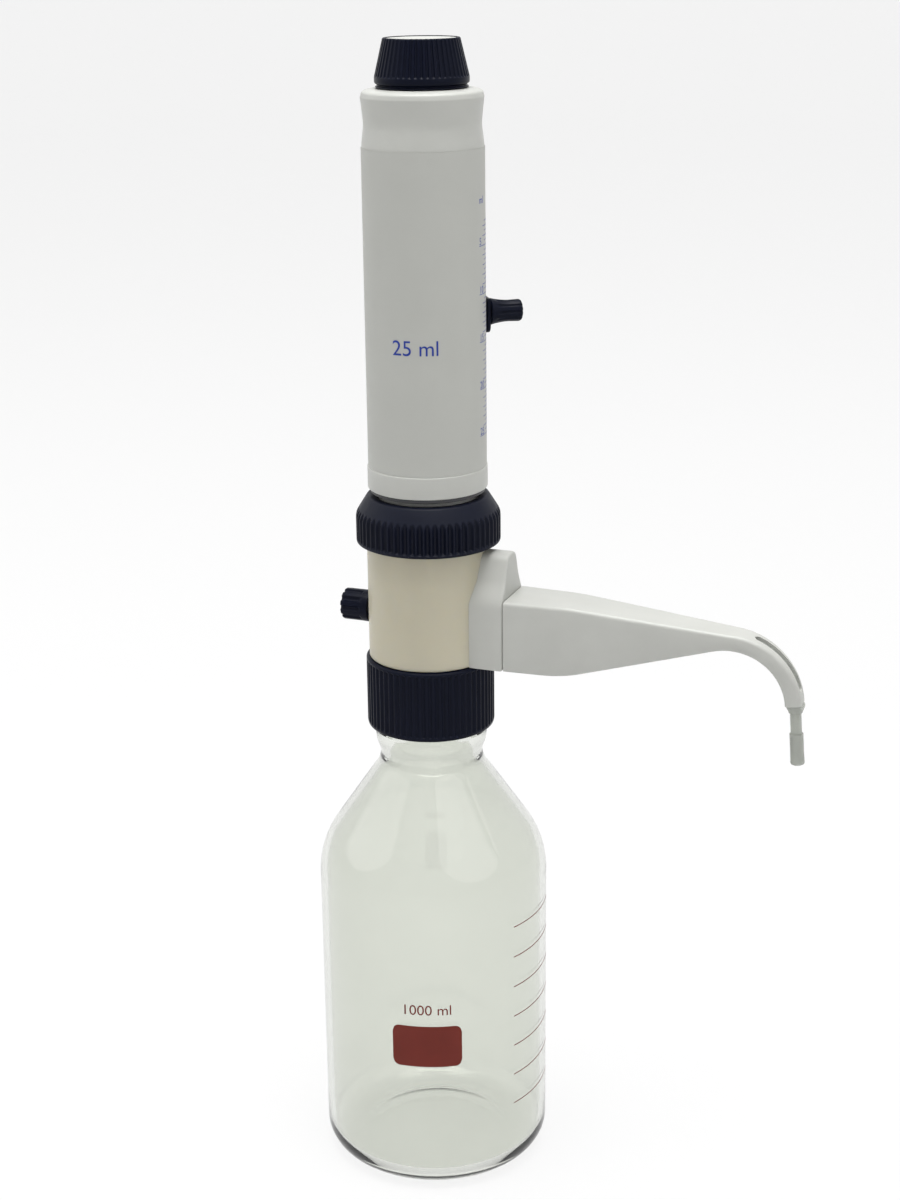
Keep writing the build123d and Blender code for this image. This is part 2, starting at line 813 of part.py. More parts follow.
# Recirculation valve: a spindle with two sealing rings, turned by the fluted knob on the left
knob_x = -block_r - knob_gap
spindle_end_x = knob_x - knob_hole
groove_half_w = seal_ring_r + running_gap
with BuildPart() as valve_spindle:
    turn_along_x(
        spindle_z,
        (-spindle_in_x, 0),
        (-spindle_in_x, spindle_r),
        (groove_half_w - seal_x[0], spindle_r),
        (groove_half_w - seal_x[0], seal_groove_r),
        (-groove_half_w - seal_x[0], seal_groove_r),
        (-groove_half_w - seal_x[0], spindle_r),
        (groove_half_w - seal_x[1], spindle_r),
        (groove_half_w - seal_x[1], seal_groove_r),
        (-groove_half_w - seal_x[1], seal_groove_r),
        (-groove_half_w - seal_x[1], spindle_r),
        (spindle_end_x, spindle_r),
        (spindle_end_x, 0),
    )
    with BuildSketch(Plane.YZ.offset(-spindle_in_x)):
        with Locations((0, spindle_z)):
            Circle(spindle_port_r)
    extrude(amount=spindle_in_x - spindle_port_x, mode=Mode.SUBTRACT)
    with BuildSketch(Plane.XZ):
        with Locations((-spindle_port_x, spindle_z)):
            Circle(spindle_port_r)
    extrude(amount=spindle_r, mode=Mode.SUBTRACT)
valve_spindle.part.label = "valve_spindle"
export_step(valve_spindle.part, "parts/valve_spindle.step")

seal_centre_r = seal_groove_r + seal_ring_r + film_gap
with BuildPart() as spindle_seals:
    for x in seal_x:
        with BuildSketch(Plane.XZ):
            with Locations((-x, spindle_z + seal_centre_r)):
                Circle(seal_ring_r)
        revolve(axis=Axis((0, 0, spindle_z), (1, 0, 0)))
spindle_seals.part.label = "spindle_seals"
export_step(spindle_seals.part, "parts/spindle_seals.step")

knob_end_x = knob_x - knob_len
with BuildPart() as recirculation_knob:
    turn_along_x(
        spindle_z,
        (knob_x, spindle_r + seat_gap),
        (knob_x, knob_r - knob_round / 3),
        (knob_x - knob_round / 3, knob_r),
        (knob_end_x + knob_round, knob_r),
        (knob_end_x + knob_round * 0.3, knob_r - knob_round * 0.3),
        (knob_end_x, knob_r - knob_round),
        (knob_end_x, 0),
        (spindle_end_x - seat_gap, 0),
        (spindle_end_x - seat_gap, spindle_r + seat_gap),
    )
    with BuildSketch(Plane.YZ.offset(knob_x - knob_collar)):
        with Locations((0, spindle_z)):
            with PolarLocations(knob_r - knob_groove_depth + knob_groove_r, knob_lobes):
                Circle(knob_groove_r)
    extrude(amount=-knob_len, mode=Mode.SUBTRACT)
recirculation_knob.part.label = "recirculation_knob"
export_step(recirculation_knob.part, "parts/recirculation_knob.step")

# Sleeve: a turned shell with a slot for the volume slide, and a boss for the cap
slide_turn = radians(scale_turn)
slide_out = (cos(slide_turn), sin(slide_turn), 0)
slide_face = Plane(origin=(0, 0, setting_z), x_dir=(-sin(slide_turn), cos(slide_turn), 0), z_dir=slide_out)
slide_side = Plane(origin=(0, 0, setting_z), x_dir=slide_out, z_dir=(sin(slide_turn), -cos(slide_turn), 0))
slot_half_h = stroke / 2 + slider_half_h + slot_end_gap
foot_ring_top_z = sleeve_z + foot_ring_h
rod_hole_r = rod_r + seat_gap


def cut_volume_slot():
    """Cut the upright slot that the volume slide runs in."""
    with BuildSketch(slide_face) as section:
        SlotOverall(slot_half_h * 2, slot_half_w * 2, rotation=90)
    extrude(section.sketch, amount=foot_ring_r, mode=Mode.SUBTRACT)


with BuildPart() as sleeve:
    turn(
        (sleeve_in_r, sleeve_z),
        (spigot_r, sleeve_z),
        (spigot_r, foot_ring_top_z),
        (sleeve_r, foot_ring_top_z),
        (sleeve_r, sleeve_z + sleeve_film_top),
        (waist_r, sleeve_z + waist_h),
        (sleeve_r, sleeve_top_z - rim_drop),
        (rim_round_r, sleeve_top_z - rim_round_drop),
        (rim_flat_r, sleeve_top_z),
        (boss_r, sleeve_top_z),
        (boss_r, sleeve_top_z + boss_h),
        (boss_r - boss_wall, sleeve_top_z + boss_h),
        (boss_r - boss_wall, sleeve_top_z),
        (rod_hole_r, sleeve_top_z),
        (rod_hole_r, sleeve_top_z - sleeve_top_t),
        (sleeve_in_r, sleeve_top_z - sleeve_top_t),
    )
    cut_volume_slot()
sleeve.part.label = "sleeve"
export_step(sleeve.part, "parts/sleeve.step")

with BuildPart() as scale_film:
    ring(film_r, sleeve_r + film_gap, foot_ring_top_z, sleeve_z + sleeve_film_top)
    cut_volume_slot()
scale_film.part.label = "scale_film"
export_step(scale_film.part, "parts/scale_film.step")

with BuildPart() as foot_ring:
    turn(
        (spigot_r + seat_gap, sleeve_z),
        (foot_ring_r - foot_ring_edge, sleeve_z),
        (foot_ring_r, sleeve_z + foot_ring_edge),
        (foot_ring_r, foot_ring_top_z - seat_gap - foot_ring_edge),
        (foot_ring_r - foot_ring_edge, foot_ring_top_z - seat_gap),
        (spigot_r + seat_gap, foot_ring_top_z - seat_gap),
    )
foot_ring.part.label = "foot_ring"
export_step(foot_ring.part, "parts/foot_ring.step")

with BuildPart() as guide_bush:
    turn(
        (guide_r + running_gap, sleeve_z - seat_gap - bush_collar_h),
        (bush_collar_r, sleeve_z - seat_gap - bush_collar_h),
        (bush_collar_r, sleeve_z - seat_gap),
        (sleeve_in_r - seat_gap, sleeve_z - seat_gap),
        (sleeve_in_r - seat_gap, sleeve_z + bush_h),
        (guide_r + running_gap, sleeve_z + bush_h),
    )
guide_bush.part.label = "guide_bush"
export_step(guide_bush.part, "parts/guide_bush.step")

# Volume slide: pointer plate outside, clamp plate inside, joined by a neck through the slot
pointer_r = film_r + pointer_gap
clamp_out_r = sleeve_in_r - clamp_gap
clamp_in_r = clamp_out_r - clamp_t
clamp_top = guide_top_z - stop_h - setting_z - stroke / 2
with BuildPart() as volume_pointer:
    with BuildSketch(slide_face.offset(pointer_r)):
        with Locations((0, (pointer_up - pointer_down) / 2)):
            plate = Rectangle(pointer_w, pointer_up + pointer_down)
        fillet(plate.vertices().group_by(Axis.Y)[0], pointer_foot_r)
        fillet(plate.vertices().group_by(Axis.Y)[-1], pointer_edge)
    extrude(amount=pointer_t)
    with BuildSketch(slide_face.offset(clamp_out_r + seat_gap)):
        SlotOverall(slider_half_h * 2, (slot_half_w - running_gap) * 2, rotation=90)
    extrude(amount=pointer_r - clamp_out_r)
    with BuildSketch(slide_face):
        Circle(screw_r + running_gap)
    extrude(amount=pointer_r + pointer_t, mode=Mode.SUBTRACT)
volume_pointer.part.label = "volume_pointer"
export_step(volume_pointer.part, "parts/volume_pointer.step")

with BuildPart() as clamp_plate:
    ring(clamp_out_r, clamp_in_r, setting_z + clamp_top - clamp_h, setting_z + clamp_top)
    with BuildSketch(slide_face):
        with Locations((0, clamp_top - clamp_h / 2)):
            Rectangle(clamp_w, clamp_h)
    extrude(amount=sleeve_r, mode=Mode.INTERSECT)
    with BuildSketch(slide_face):
        Circle(screw_r + running_gap)
    extrude(amount=sleeve_r, mode=Mode.SUBTRACT)
clamp_plate.part.label = "clamp_plate"
export_step(clamp_plate.part, "parts/clamp_plate.step")

# Volume knob with its clamp screw
volume_knob_in = pointer_r + pointer_t + flat_gap
volume_knob_out = volume_knob_in + volume_knob_len
with BuildPart() as clamp_screw:
    with BuildSketch(slide_face.offset(clamp_in_r)):
        Circle(screw_r)
    extrude(amount=volume_knob_in + screw_in_knob - clamp_in_r)
clamp_screw.part.label = "clamp_screw"
export_step(clamp_screw.part, "parts/clamp_screw.step")

with BuildPart() as volume_knob:
    with BuildSketch(slide_side):
        with BuildLine():
            Polyline(
                (volume_knob_in, screw_r + seat_gap),
                (volume_knob_in, volume_knob_base_r - pointer_edge),
                (volume_knob_in + pointer_edge, volume_knob_base_r),
                (volume_knob_in + volume_knob_base_h, volume_knob_base_r),
            )
            Spline(
                (volume_knob_in + volume_knob_base_h, volume_knob_base_r),
                (volume_knob_in + volume_knob_waist_h, volume_knob_waist_r),
                tangents=((1, -0.6), (1, 0)),
            )
            Polyline(
                (volume_knob_in + volume_knob_waist_h, volume_knob_waist_r),
                (volume_knob_out - volume_knob_round, volume_knob_end_r),
                (volume_knob_out - volume_knob_round * 0.3, volume_knob_end_r - volume_knob_round * 0.3),
                (volume_knob_out, volume_knob_end_r - volume_knob_round),
                (volume_knob_out, 0),
                (volume_knob_in + screw_in_knob + seat_gap, 0),
                (volume_knob_in + screw_in_knob + seat_gap, screw_r + seat_gap),
                (volume_knob_in, screw_r + seat_gap),
            )
        make_face()
    revolve(axis=Axis((0, 0, setting_z), slide_out))
    with BuildSketch(slide_face.offset(volume_knob_in + volume_knob_waist_h)):
        with PolarLocations(volume_knob_end_r - volume_groove_depth + volume_groove_r, volume_knob_ribs):
            Circle(volume_groove_r)
    extrude(amount=volume_knob_len, mode=Mode.SUBTRACT)
volume_knob.part.label = "volume_knob"
export_step(volume_knob.part, "parts/volume_knob.step")

# Piston: a hollow plunger on a rod, with its seal at the foot; the rod hangs in the sleeve's top
seal_z = cylinder_floor_z + piston_floor_gap
piston_z = seal_z + piston_seal_t + seat_gap
rod_z = seal_z + piston_seal_t / 2
collar_z = sleeve_top_z - sleeve_top_t - seat_gap - rod_collar_t
with BuildPart() as piston:
    ring(piston_r, rod_hole_r, piston_z, piston_z + piston_len)
piston.part.label = "piston"
export_step(piston.part, "parts/piston.step")

with BuildPart() as piston_seal:
    turn(
        (0, seal_z),
        (bore_r - seat_gap - piston_lip, seal_z),
        (bore_r - seat_gap, seal_z + piston_lip),
        (bore_r - seat_gap, seal_z + piston_seal_t),
        (rod_hole_r, seal_z + piston_seal_t),
        (rod_hole_r, rod_z - seat_gap),
        (0, rod_z - seat_gap),
    )
piston_seal.part.label = "piston_seal"
export_step(piston_seal.part, "parts/piston_seal.step")

with BuildPart() as piston_rod:
    turn(
        (0, rod_z),
        (rod_r, rod_z),
        (rod_r, collar_z),
        (rod_collar_r, collar_z),
        (rod_collar_r, collar_z + rod_collar_t),
        (rod_r, collar_z + rod_collar_t),
        (rod_r, sleeve_top_z + rod_proud),
        (0, sleeve_top_z + rod_proud),
    )
piston_rod.part.label = "piston_rod"
export_step(piston_rod.part, "parts/piston_rod.step")

with BuildPart() as calibration_nut:
    with BuildSketch(Plane.XY.offset(sleeve_top_z + seat_gap)):
        RegularPolygon(calibration_nut_r, 6)
        Circle(rod_hole_r, mode=Mode.SUBTRACT)
    extrude(amount=calibration_nut_t)
calibration_nut.part.label = "calibration_nut"
export_step(calibration_nut.part, "parts/calibration_nut.step")

# Top cap: foot, band and ribbed cone, hollow over the boss, with a light disc let into its top
cap_z = sleeve_top_z + flat_gap
cap_top_z = cap_z + cap_h
disc_z = cap_top_z - disc_sink - disc_t
rib_z = cap_z + cap_band_high
rib_run = (cap_top_r - cap_band_r, 0, cap_h - cap_band_high)
with BuildPart() as cap_groove:
    with BuildSketch(Plane.XY.offset(rib_z)):
        with Locations((cap_band_r - cap_groove_depth + cap_groove_r, 0)):
            Circle(cap_groove_r)
    extrude(amount=cap_h, dir=rib_run)

with BuildPart() as top_cap:
    turn(
        (boss_r + running_gap, cap_z),
        (cap_foot_lip_r, cap_z),
        (cap_foot_lip_r, cap_z + cap_foot_lip_h),
        (cap_waist_r, cap_z + cap_waist_low),
        (cap_waist_r, cap_z + cap_waist_high),
        (cap_band_r, cap_z + cap_band_low),
        (cap_band_r, rib_z),
        (cap_top_r + cap_top_round * 0.2, cap_top_z - cap_top_round),
        (cap_top_r - cap_top_round, cap_top_z),
        (disc_r + seat_gap, cap_top_z),
        (disc_r + seat_gap, disc_z - seat_gap),
        (0, disc_z - seat_gap),
        (0, disc_z - seat_gap - cap_shell),
        (cap_hollow_r, disc_z - seat_gap - cap_shell),
        (cap_hollow_r, cap_z + boss_h + flat_gap),
        (boss_r + running_gap, cap_z + boss_h + flat_gap),
    )
    with PolarLocations(0, cap_ribs):
        add(cap_groove.part, mode=Mode.SUBTRACT)
top_cap.part.label = "top_cap"
export_step(top_cap.part, "parts/top_cap.step")

with BuildPart() as cap_disc:
    with BuildSketch(Plane.XY.offset(disc_z)):
        Circle(disc_r)
    extrude(amount=disc_t)
cap_disc.part.label = "cap_disc"
export_step(cap_disc.part, "parts/cap_disc.step")
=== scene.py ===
"""Detailed pieces and finishes for a bottle-top dispenser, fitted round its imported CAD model.

Run as a script in Blender. Lengths are in metres, in the frame of the CAD model: the origin is the centre
of the bottle's foot, +Z is up and the discharge arm points along +X.
"""

import json
import math

import bmesh
import bpy
from mathutils import Matrix, Vector


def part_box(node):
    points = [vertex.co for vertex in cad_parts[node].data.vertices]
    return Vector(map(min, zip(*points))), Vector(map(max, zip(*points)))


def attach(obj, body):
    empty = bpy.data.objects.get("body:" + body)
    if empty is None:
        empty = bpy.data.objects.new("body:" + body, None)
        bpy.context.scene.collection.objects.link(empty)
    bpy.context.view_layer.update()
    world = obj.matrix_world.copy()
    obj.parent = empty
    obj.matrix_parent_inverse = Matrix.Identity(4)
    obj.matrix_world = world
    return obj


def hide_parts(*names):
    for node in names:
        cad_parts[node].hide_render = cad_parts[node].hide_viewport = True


bl_info = {
    "name": "Bottle-top dispenser",
    "version": (1, 0, 0),
    "blender": (4, 5, 0),
    "location": "View3D > Sidebar > Dispenser",
    "description": "Detailed pieces and finishes for a bottle-top dispenser on its bottle",
    "category": "Add Mesh",
}

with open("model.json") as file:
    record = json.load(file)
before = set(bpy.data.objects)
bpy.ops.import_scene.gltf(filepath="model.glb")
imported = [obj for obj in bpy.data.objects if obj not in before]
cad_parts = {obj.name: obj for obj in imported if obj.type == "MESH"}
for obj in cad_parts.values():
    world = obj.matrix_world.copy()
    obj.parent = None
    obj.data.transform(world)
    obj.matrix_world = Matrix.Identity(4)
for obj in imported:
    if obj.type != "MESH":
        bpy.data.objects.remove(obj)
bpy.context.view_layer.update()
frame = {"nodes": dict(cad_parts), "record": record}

MM = 0.001
FULL_TURN = 2 * math.pi

ON_AXIS = 1e-7  # a smaller radius counts as lying on the turning axis
OFF_AXIS = 50  # carries a two-sided outline clear of the turning axis while its corners are rounded
SAME_SPOT = 1e-8  # points nearer than this are merged
SAME_LEVEL = 1e-6  # levels nearer than this count as one
SHARP_EDGE = math.radians(38)  # an edge that bends further than this stays sharp
NOISE_LOW, NOISE_HIGH = 0.3, 0.7  # nearly all of a noise value lies in this range
FIT_GAP = 0.05 * MM  # clearance between a piece and its neighbour
PAST = 1 * MM  # how far a cutter reaches past what it cuts


def middle_of(node_name):
    """Middle of a CAD node's box."""
    return sum(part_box(node_name), Vector()) / 2


# Places read from the CAD model
AXIS_LEVEL = middle_of("discharge_valve_body").z
SPINDLE_LEVEL = middle_of("valve_spindle").z
SETTING_LEVEL = middle_of("volume_knob").z
SLIDE_TURN = math.atan2(middle_of("volume_knob").y, middle_of("volume_knob").x)


class DispenserColours(bpy.types.PropertyGroup):
    """Colours of the dispenser's finishes."""

    navy: bpy.props.FloatVectorProperty(
        name="Navy", description="Nuts, knobs and cap", subtype="COLOR", default=(0.0040, 0.0055, 0.0140)
    )
    shell: bpy.props.FloatVectorProperty(
        name="Shell", description="Sleeve, arm and cover plate", subtype="COLOR", default=(0.50, 0.505, 0.475)
    )
    film: bpy.props.FloatVectorProperty(
        name="Film", description="Printed film on the sleeve", subtype="COLOR", default=(0.475, 0.48, 0.45)
    )
    block: bpy.props.FloatVectorProperty(
        name="Block", description="Cream valve block", subtype="COLOR", default=(0.53, 0.495, 0.38)
    )
    glass: bpy.props.FloatVectorProperty(
        name="Glass", description="Tint of the bottle glass", subtype="COLOR", default=(0.82, 0.835, 0.79)
    )
    blue_print: bpy.props.FloatVectorProperty(
        name="Blue print", description="Scale on the sleeve", subtype="COLOR", default=(0.030, 0.055, 0.30)
    )
    red_print: bpy.props.FloatVectorProperty(
        name="Red print", description="Marks on the bottle", subtype="COLOR", default=(0.16, 0.026, 0.018)
    )


class DispenserSizes(bpy.types.PropertyGroup):
    """Sizes of the detail that the CAD model leaves plain."""

    nut_ribs: bpy.props.IntProperty(
        name="Nut ribs", description="Ribs round each large nut", default=60, min=12, max=120
    )
    nut_groove: bpy.props.FloatProperty(
        name="Nut groove", description="Depth of the nuts' grooves", default=0.75 * MM, unit="LENGTH"
    )
    cap_ribs: bpy.props.IntProperty(
        name="Cap ribs", description="Ribs round the top cap", default=50, min=12, max=120
    )
    cap_groove: bpy.props.FloatProperty(
        name="Cap groove", description="Depth of the cap's grooves", default=0.6 * MM, unit="LENGTH"
    )
    knob_lobes: bpy.props.IntProperty(
        name="Knob lobes", description="Lobes round each small knob", default=10, min=4, max=24
    )
    edge: bpy.props.FloatProperty(
        name="Edge rounding", description="Rounding on moulded edges", default=0.5 * MM, unit="LENGTH"
    )
    bend_radius: bpy.props.FloatProperty(
        name="Tube bend", description="Radius of the tube's bend in the arm", default=27 * MM, unit="LENGTH"
    )
    tube_wall: bpy.props.FloatProperty(
        name="Tube wall", description="Wall of the discharge tube", default=0.85 * MM, unit="LENGTH"
    )
    tip_lean: bpy.props.FloatProperty(
        name="Tip lean",
        description="Lean of the tip away from plumb",
        default=math.radians(4.5),
        unit="ROTATION",
    )
    mark_height: bpy.props.FloatProperty(
        name="Mark height",
        description="Height of the printing over its surface",
        default=0.03 * MM,
        unit="LENGTH",
    )
    floor_reach: bpy.props.FloatProperty(
        name="Floor reach", description="Half width of the floor", default=6.0, unit="LENGTH"
    )


def sizes():
    """The size settings."""
    return bpy.context.scene.dispenser_sizes


def colours():
    """The colour settings."""
    return bpy.context.scene.dispenser_colours


# Finishes

def node(tree, kind, **values):
    """Add a shader node; values name its properties or its input sockets."""
    made = tree.nodes.new(kind)
    for key, value in values.items():
        if key in made.inputs:
            made.inputs[key].default_value = value
        else:
            setattr(made, key, value)
    return made


def empty_tree(owner, output_kind):
    """The cleared node tree of a material or world, and its new output."""
    owner.use_nodes = True
    tree = owner.node_tree
    tree.nodes.clear()
    return tree, tree.nodes.new(output_kind)


def new_finish(name):
    """A material, its node tree and its shader."""
    finish = bpy.data.materials.new(name)
    tree, out = empty_tree(finish, "ShaderNodeOutputMaterial")
    shader = tree.nodes.new("ShaderNodeBsdfPrincipled")
    tree.links.new(shader.outputs["BSDF"], out.inputs["Surface"])
    return finish, tree, shader


def mottle(tree, scale, detail=4.0, stretch=(1, 1, 1)):
    """Noise in object space, with its place stretched along an axis where asked."""
    place = tree.nodes.new("ShaderNodeTexCoord")
    mapping = node(tree, "ShaderNodeMapping", Scale=stretch)
    tree.links.new(place.outputs["Object"], mapping.inputs["Vector"])
    noise = node(tree, "ShaderNodeTexNoise", Scale=scale, Detail=detail)
    tree.links.new(mapping.outputs["Vector"], noise.inputs["Vector"])
    return noise


def spread(tree, source, low, high, socket):
    """Map a noise value to the range low to high and feed it to a socket."""
    limits = {"From Min": NOISE_LOW, "From Max": NOISE_HIGH, "To Min": low, "To Max": high}
    stretch = node(tree, "ShaderNodeMapRange", **limits)
    tree.links.new(source.outputs["Fac"], stretch.inputs["Value"])
    tree.links.new(stretch.outputs["Result"], socket)


def tint(tree, source, colour, change, socket):
    """Vary a colour a little, darker to lighter, by a noise value."""
    ramp = tree.nodes.new("ShaderNodeValToRGB")
    low, high = ramp.color_ramp.elements
    low.position, high.position = NOISE_LOW, NOISE_HIGH
    low.color = [c * (1 - change) for c in colour] + [1]
    high.color = [min(c * (1 + change), 1) for c in colour] + [1]
    tree.links.new(source.outputs["Fac"], ramp.inputs["Fac"])
    tree.links.new(ramp.outputs["Color"], socket)


def roughen(tree, shader, source, depth, strength=0.5):
    """Bump from a noise value, with its depth in metres."""
    bump = node(tree, "ShaderNodeBump", Strength=strength, Distance=depth)
    tree.links.new(source.outputs["Fac"], bump.inputs["Height"])
    tree.links.new(bump.outputs["Normal"], shader.inputs["Normal"])


def moulded(name, colour, gloss, change=0.03, specular=0.5):
    """Moulded plastic: slight cloudiness, fine skin texture and roughness that varies."""
    clouds, wear, skin, skin_depth = 60.0, 240.0, 2200.0, 0.02 * MM
    finish, tree, shader = new_finish(name)
    tint(tree, mottle(tree, clouds), colour, change, shader.inputs["Base Color"])
    spread(tree, mottle(tree, wear), gloss - 0.04, gloss + 0.05, shader.inputs["Roughness"])
    roughen(tree, shader, mottle(tree, skin, 2.0), skin_depth)
    shader.inputs["Specular IOR Level"].default_value = specular
    return finish


def milky(name, colour):
    """Cream plastic that lets a little light in, with faint upright flow lines."""
    clouds, wear, flow, flow_depth = 40.0, 300.0, 1500.0, 0.015 * MM
    smoothest, roughest, change = 0.34, 0.42, 0.03
    finish, tree, shader = new_finish(name)
    tint(tree, mottle(tree, clouds, 3.0, (1, 1, 0.25)), colour, change, shader.inputs["Base Color"])
    spread(tree, mottle(tree, wear), smoothest, roughest, shader.inputs["Roughness"])
    roughen(tree, shader, mottle(tree, flow, 2.0, (1, 1, 0.1)), flow_depth)
    shader.inputs["Subsurface Weight"].default_value = 0.35
    shader.inputs["Subsurface Radius"].default_value = (1.0, 0.75, 0.4)
    shader.inputs["Subsurface Scale"].default_value = 4 * MM
    return finish


def clear(name, colour, rim, ior, gloss, ripple, clearness=1.0):
    """Clear glass or plastic with a slight ripple. Its tint deepens towards the edges, where the eye looks
    along its wall, and that darkening is also painted shade for the dark lines that refraction draws at the
    edges.
    """
    clouds, rim_clouds, wear, waves, change = 25.0, 40.0, 90.0, 70.0, 0.01
    finish, tree, shader = new_finish(name)
    blend = node(tree, "ShaderNodeMixRGB")
    tint(tree, mottle(tree, clouds), colour, change, blend.inputs["Color1"])
    # The second colour, darker by rim, is painted shade for the dark refraction lines at the edges, as well
    # as the deeper tint of the longer path through the wall.
    tint(tree, mottle(tree, rim_clouds), [c * rim for c in colour], change, blend.inputs["Color2"])
    edge = node(tree, "ShaderNodeLayerWeight", Blend=0.25)
    tree.links.new(edge.outputs["Facing"], blend.inputs["Fac"])
    tree.links.new(blend.outputs["Color"], shader.inputs["Base Color"])
    spread(tree, mottle(tree, wear), gloss, gloss + 0.02, shader.inputs["Roughness"])
    roughen(tree, shader, mottle(tree, waves, 1.0, (1, 1, 0.3)), ripple, 0.4)
    shader.inputs["IOR"].default_value = ior
    shader.inputs["Transmission Weight"].default_value = clearness
    return finish


def metal(name, colour, gloss):
    """Bright turned metal with fine rings."""
    clouds, bands, rings, ring_depth = 150.0, 3000.0, 4000.0, 0.01 * MM
    finish, tree, shader = new_finish(name)
    tint(tree, mottle(tree, clouds), colour, 0.04, shader.inputs["Base Color"])
    wear = mottle(tree, bands, 2.0, (0.1, 0.1, 1))
    spread(tree, wear, gloss - 0.05, gloss + 0.08, shader.inputs["Roughness"])
    roughen(tree, shader, mottle(tree, rings, 2.0, (0.05, 0.05, 1)), ring_depth)
    shader.inputs["Metallic"].default_value = 1.0
    return finish


FINISHES = {
    "navy_plastic": lambda name: moulded(name, colours().navy, 0.32, 0.08, specular=0.08),
    "navy_satin": lambda name: moulded(name, colours().navy, 0.45, 0.08, specular=0.13),
    "grey_plastic": lambda name: moulded(name, colours().shell, 0.36),
    "scale_film": lambda name: moulded(name, colours().film, 0.48, 0.012),
    "cream_plastic": lambda name: milky(name, colours().block),
    "clear_glass": lambda name: clear(name, colours().glass, 0.84, 1.47, 0.0, 0.006 * MM),
    "clear_tube": lambda name: clear(name, (0.68, 0.70, 0.65), 0.85, 1.36, 0.22, 0.01 * MM, 0.55),
    "white_plastic": lambda name: moulded(name, (0.74, 0.74, 0.71), 0.40),
    "white_ceramic": lambda name: moulded(name, (0.80, 0.79, 0.75), 0.14),
    "bright_steel": lambda name: metal(name, (0.62, 0.62, 0.61), 0.24),
    "dark_rubber": lambda name: moulded(name, (0.018, 0.018, 0.018), 0.55, 0.10),
    "dark_ring": lambda name: moulded(name, (0.035, 0.036, 0.040), 0.45, 0.08),
    "blue_print": lambda name: moulded(name, colours().blue_print, 0.50, 0.10, specular=0.2),
    "red_print": lambda name: moulded(name, colours().red_print, 0.50, 0.10, specular=0.15),
}


def eye_rays(tree):
    """1 for rays that the eye follows: straight from the camera, mirrored, or through glass."""
    rays = tree.nodes.new("ShaderNodeLightPath")
    first = node(tree, "ShaderNodeMath", operation="MAXIMUM")
    second = node(tree, "ShaderNodeMath", operation="MAXIMUM")
    tree.links.new(rays.outputs["Is Camera Ray"], first.inputs[0])
    tree.links.new(rays.outputs["Is Glossy Ray"], first.inputs[1])
    tree.links.new(first.outputs[0], second.inputs[0])
    tree.links.new(rays.outputs["Is Transmission Ray"], second.inputs[1])
    return second.outputs[0]


def mixed(tree, share, first, second, out):
    """Blend two shaders by a share and feed them to an output."""
    blend = tree.nodes.new("ShaderNodeMixShader")
    tree.links.new(share, blend.inputs["Fac"])
    tree.links.new(first, blend.inputs[1])
    tree.links.new(second, blend.inputs[2])
    tree.links.new(blend.outputs["Shader"], out.inputs["Surface"])


def finish_for(name):
    """The finish of that name, made the first time it is asked for."""
    own_name = f"{name}_finish"
    return bpy.data.materials.get(own_name) or FINISHES[name](own_name)


# Mesh helpers

def soften(points, radius, steps=4):
    """Round the corners of a closed outline. Corners on the turning axis stay sharp."""
    result = []
    for i, point in enumerate(points):
        here = Vector(point[:2])
        reach = radius if len(point) < 3 else point[2]
        if here.x < ON_AXIS or reach == 0:
            result.append(tuple(here))
            continue
        back = Vector(points[i - 1][:2]) - here
        ahead = Vector(points[(i + 1) % len(points)][:2]) - here
        reach = min(reach, back.length * 0.49, ahead.length * 0.49)
        start = here + back.normalized() * reach
        end = here + ahead.normalized() * reach
        for k in range(steps + 1):
            t = k / steps
            result.append(tuple(start * (1 - t) ** 2 + here * 2 * t * (1 - t) + end * t**2))
    return result


def outer(node_name):
    """Outer radius, low level and high level of an upright turned CAD node."""
    low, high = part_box(node_name)
    return (high.x - low.x) / 2, low.z, high.z


def turned(outline, segments=192, cut=None):
    """Turn a closed outline of (radius, height). cut(turn, radius, height) gives a changed radius."""
    mesh = bmesh.new()
    columns = []
    for k in range(segments):
        turn = FULL_TURN * k / segments
        column = []
        for radius, height in outline:
            r = cut(turn, radius, height) if cut else radius
            column.append(mesh.verts.new((r * math.cos(turn), r * math.sin(turn), height)))
        columns.append(column)
    for k in range(segments):
        here, there = columns[k], columns[(k + 1) % segments]
        for i in range(len(outline)):
            j = (i + 1) % len(outline)
            if outline[i][0] > ON_AXIS or outline[j][0] > ON_AXIS:
                mesh.faces.new((here[i], there[i], there[j], here[j]))
    bmesh.ops.remove_doubles(mesh, verts=mesh.verts, dist=SAME_SPOT)
    return mesh


def rod(radius, low, high, segments):
    """A solid upright cylinder."""
    return turned([(0, low), (radius, low), (radius, high), (0, high)], segments)


def bridge(mesh, rings):
    """Faces between each closed ring of vertices and the next."""
    for row, following in zip(rings, rings[1:]):
        for i in range(len(row)):
            j = (i + 1) % len(row)
            mesh.faces.new((row[i], row[j], following[j], following[i]))


def skinned(rings, mesh=None):
    """Join equal closed rings of points into a solid with filled ends."""
    mesh = mesh or bmesh.new()
    made = [[mesh.verts.new(p) for p in ring] for ring in rings]
    bridge(mesh, made)
    mesh.faces.new(list(reversed(made[0])))
    mesh.faces.new(made[-1])
    return mesh


def curved_block(mesh, radii, turns, spans):
    """A thin block that follows an upright cylinder, with its (low, high) levels at each step of the turn."""
    corners = ((0, 0), (1, 0), (1, 1), (0, 1))
    rings = []
    for k, levels in enumerate(spans):
        turn = turns[0] + (turns[1] - turns[0]) * k / (len(spans) - 1)
        side = Vector((math.cos(turn), math.sin(turn), 0))
        rings.append([side * radii[a] + Vector((0, 0, levels[b])) for a, b in corners])
    return skinned(rings, mesh)


def mark_edges(mesh):
    """Shade a mesh smooth, with its sharp and its open edges kept."""
    for face in mesh.faces:
        face.smooth = True
    for edge in mesh.edges:
        edge.smooth = len(edge.link_faces) == 2 and edge.calc_face_angle(0) < SHARP_EDGE


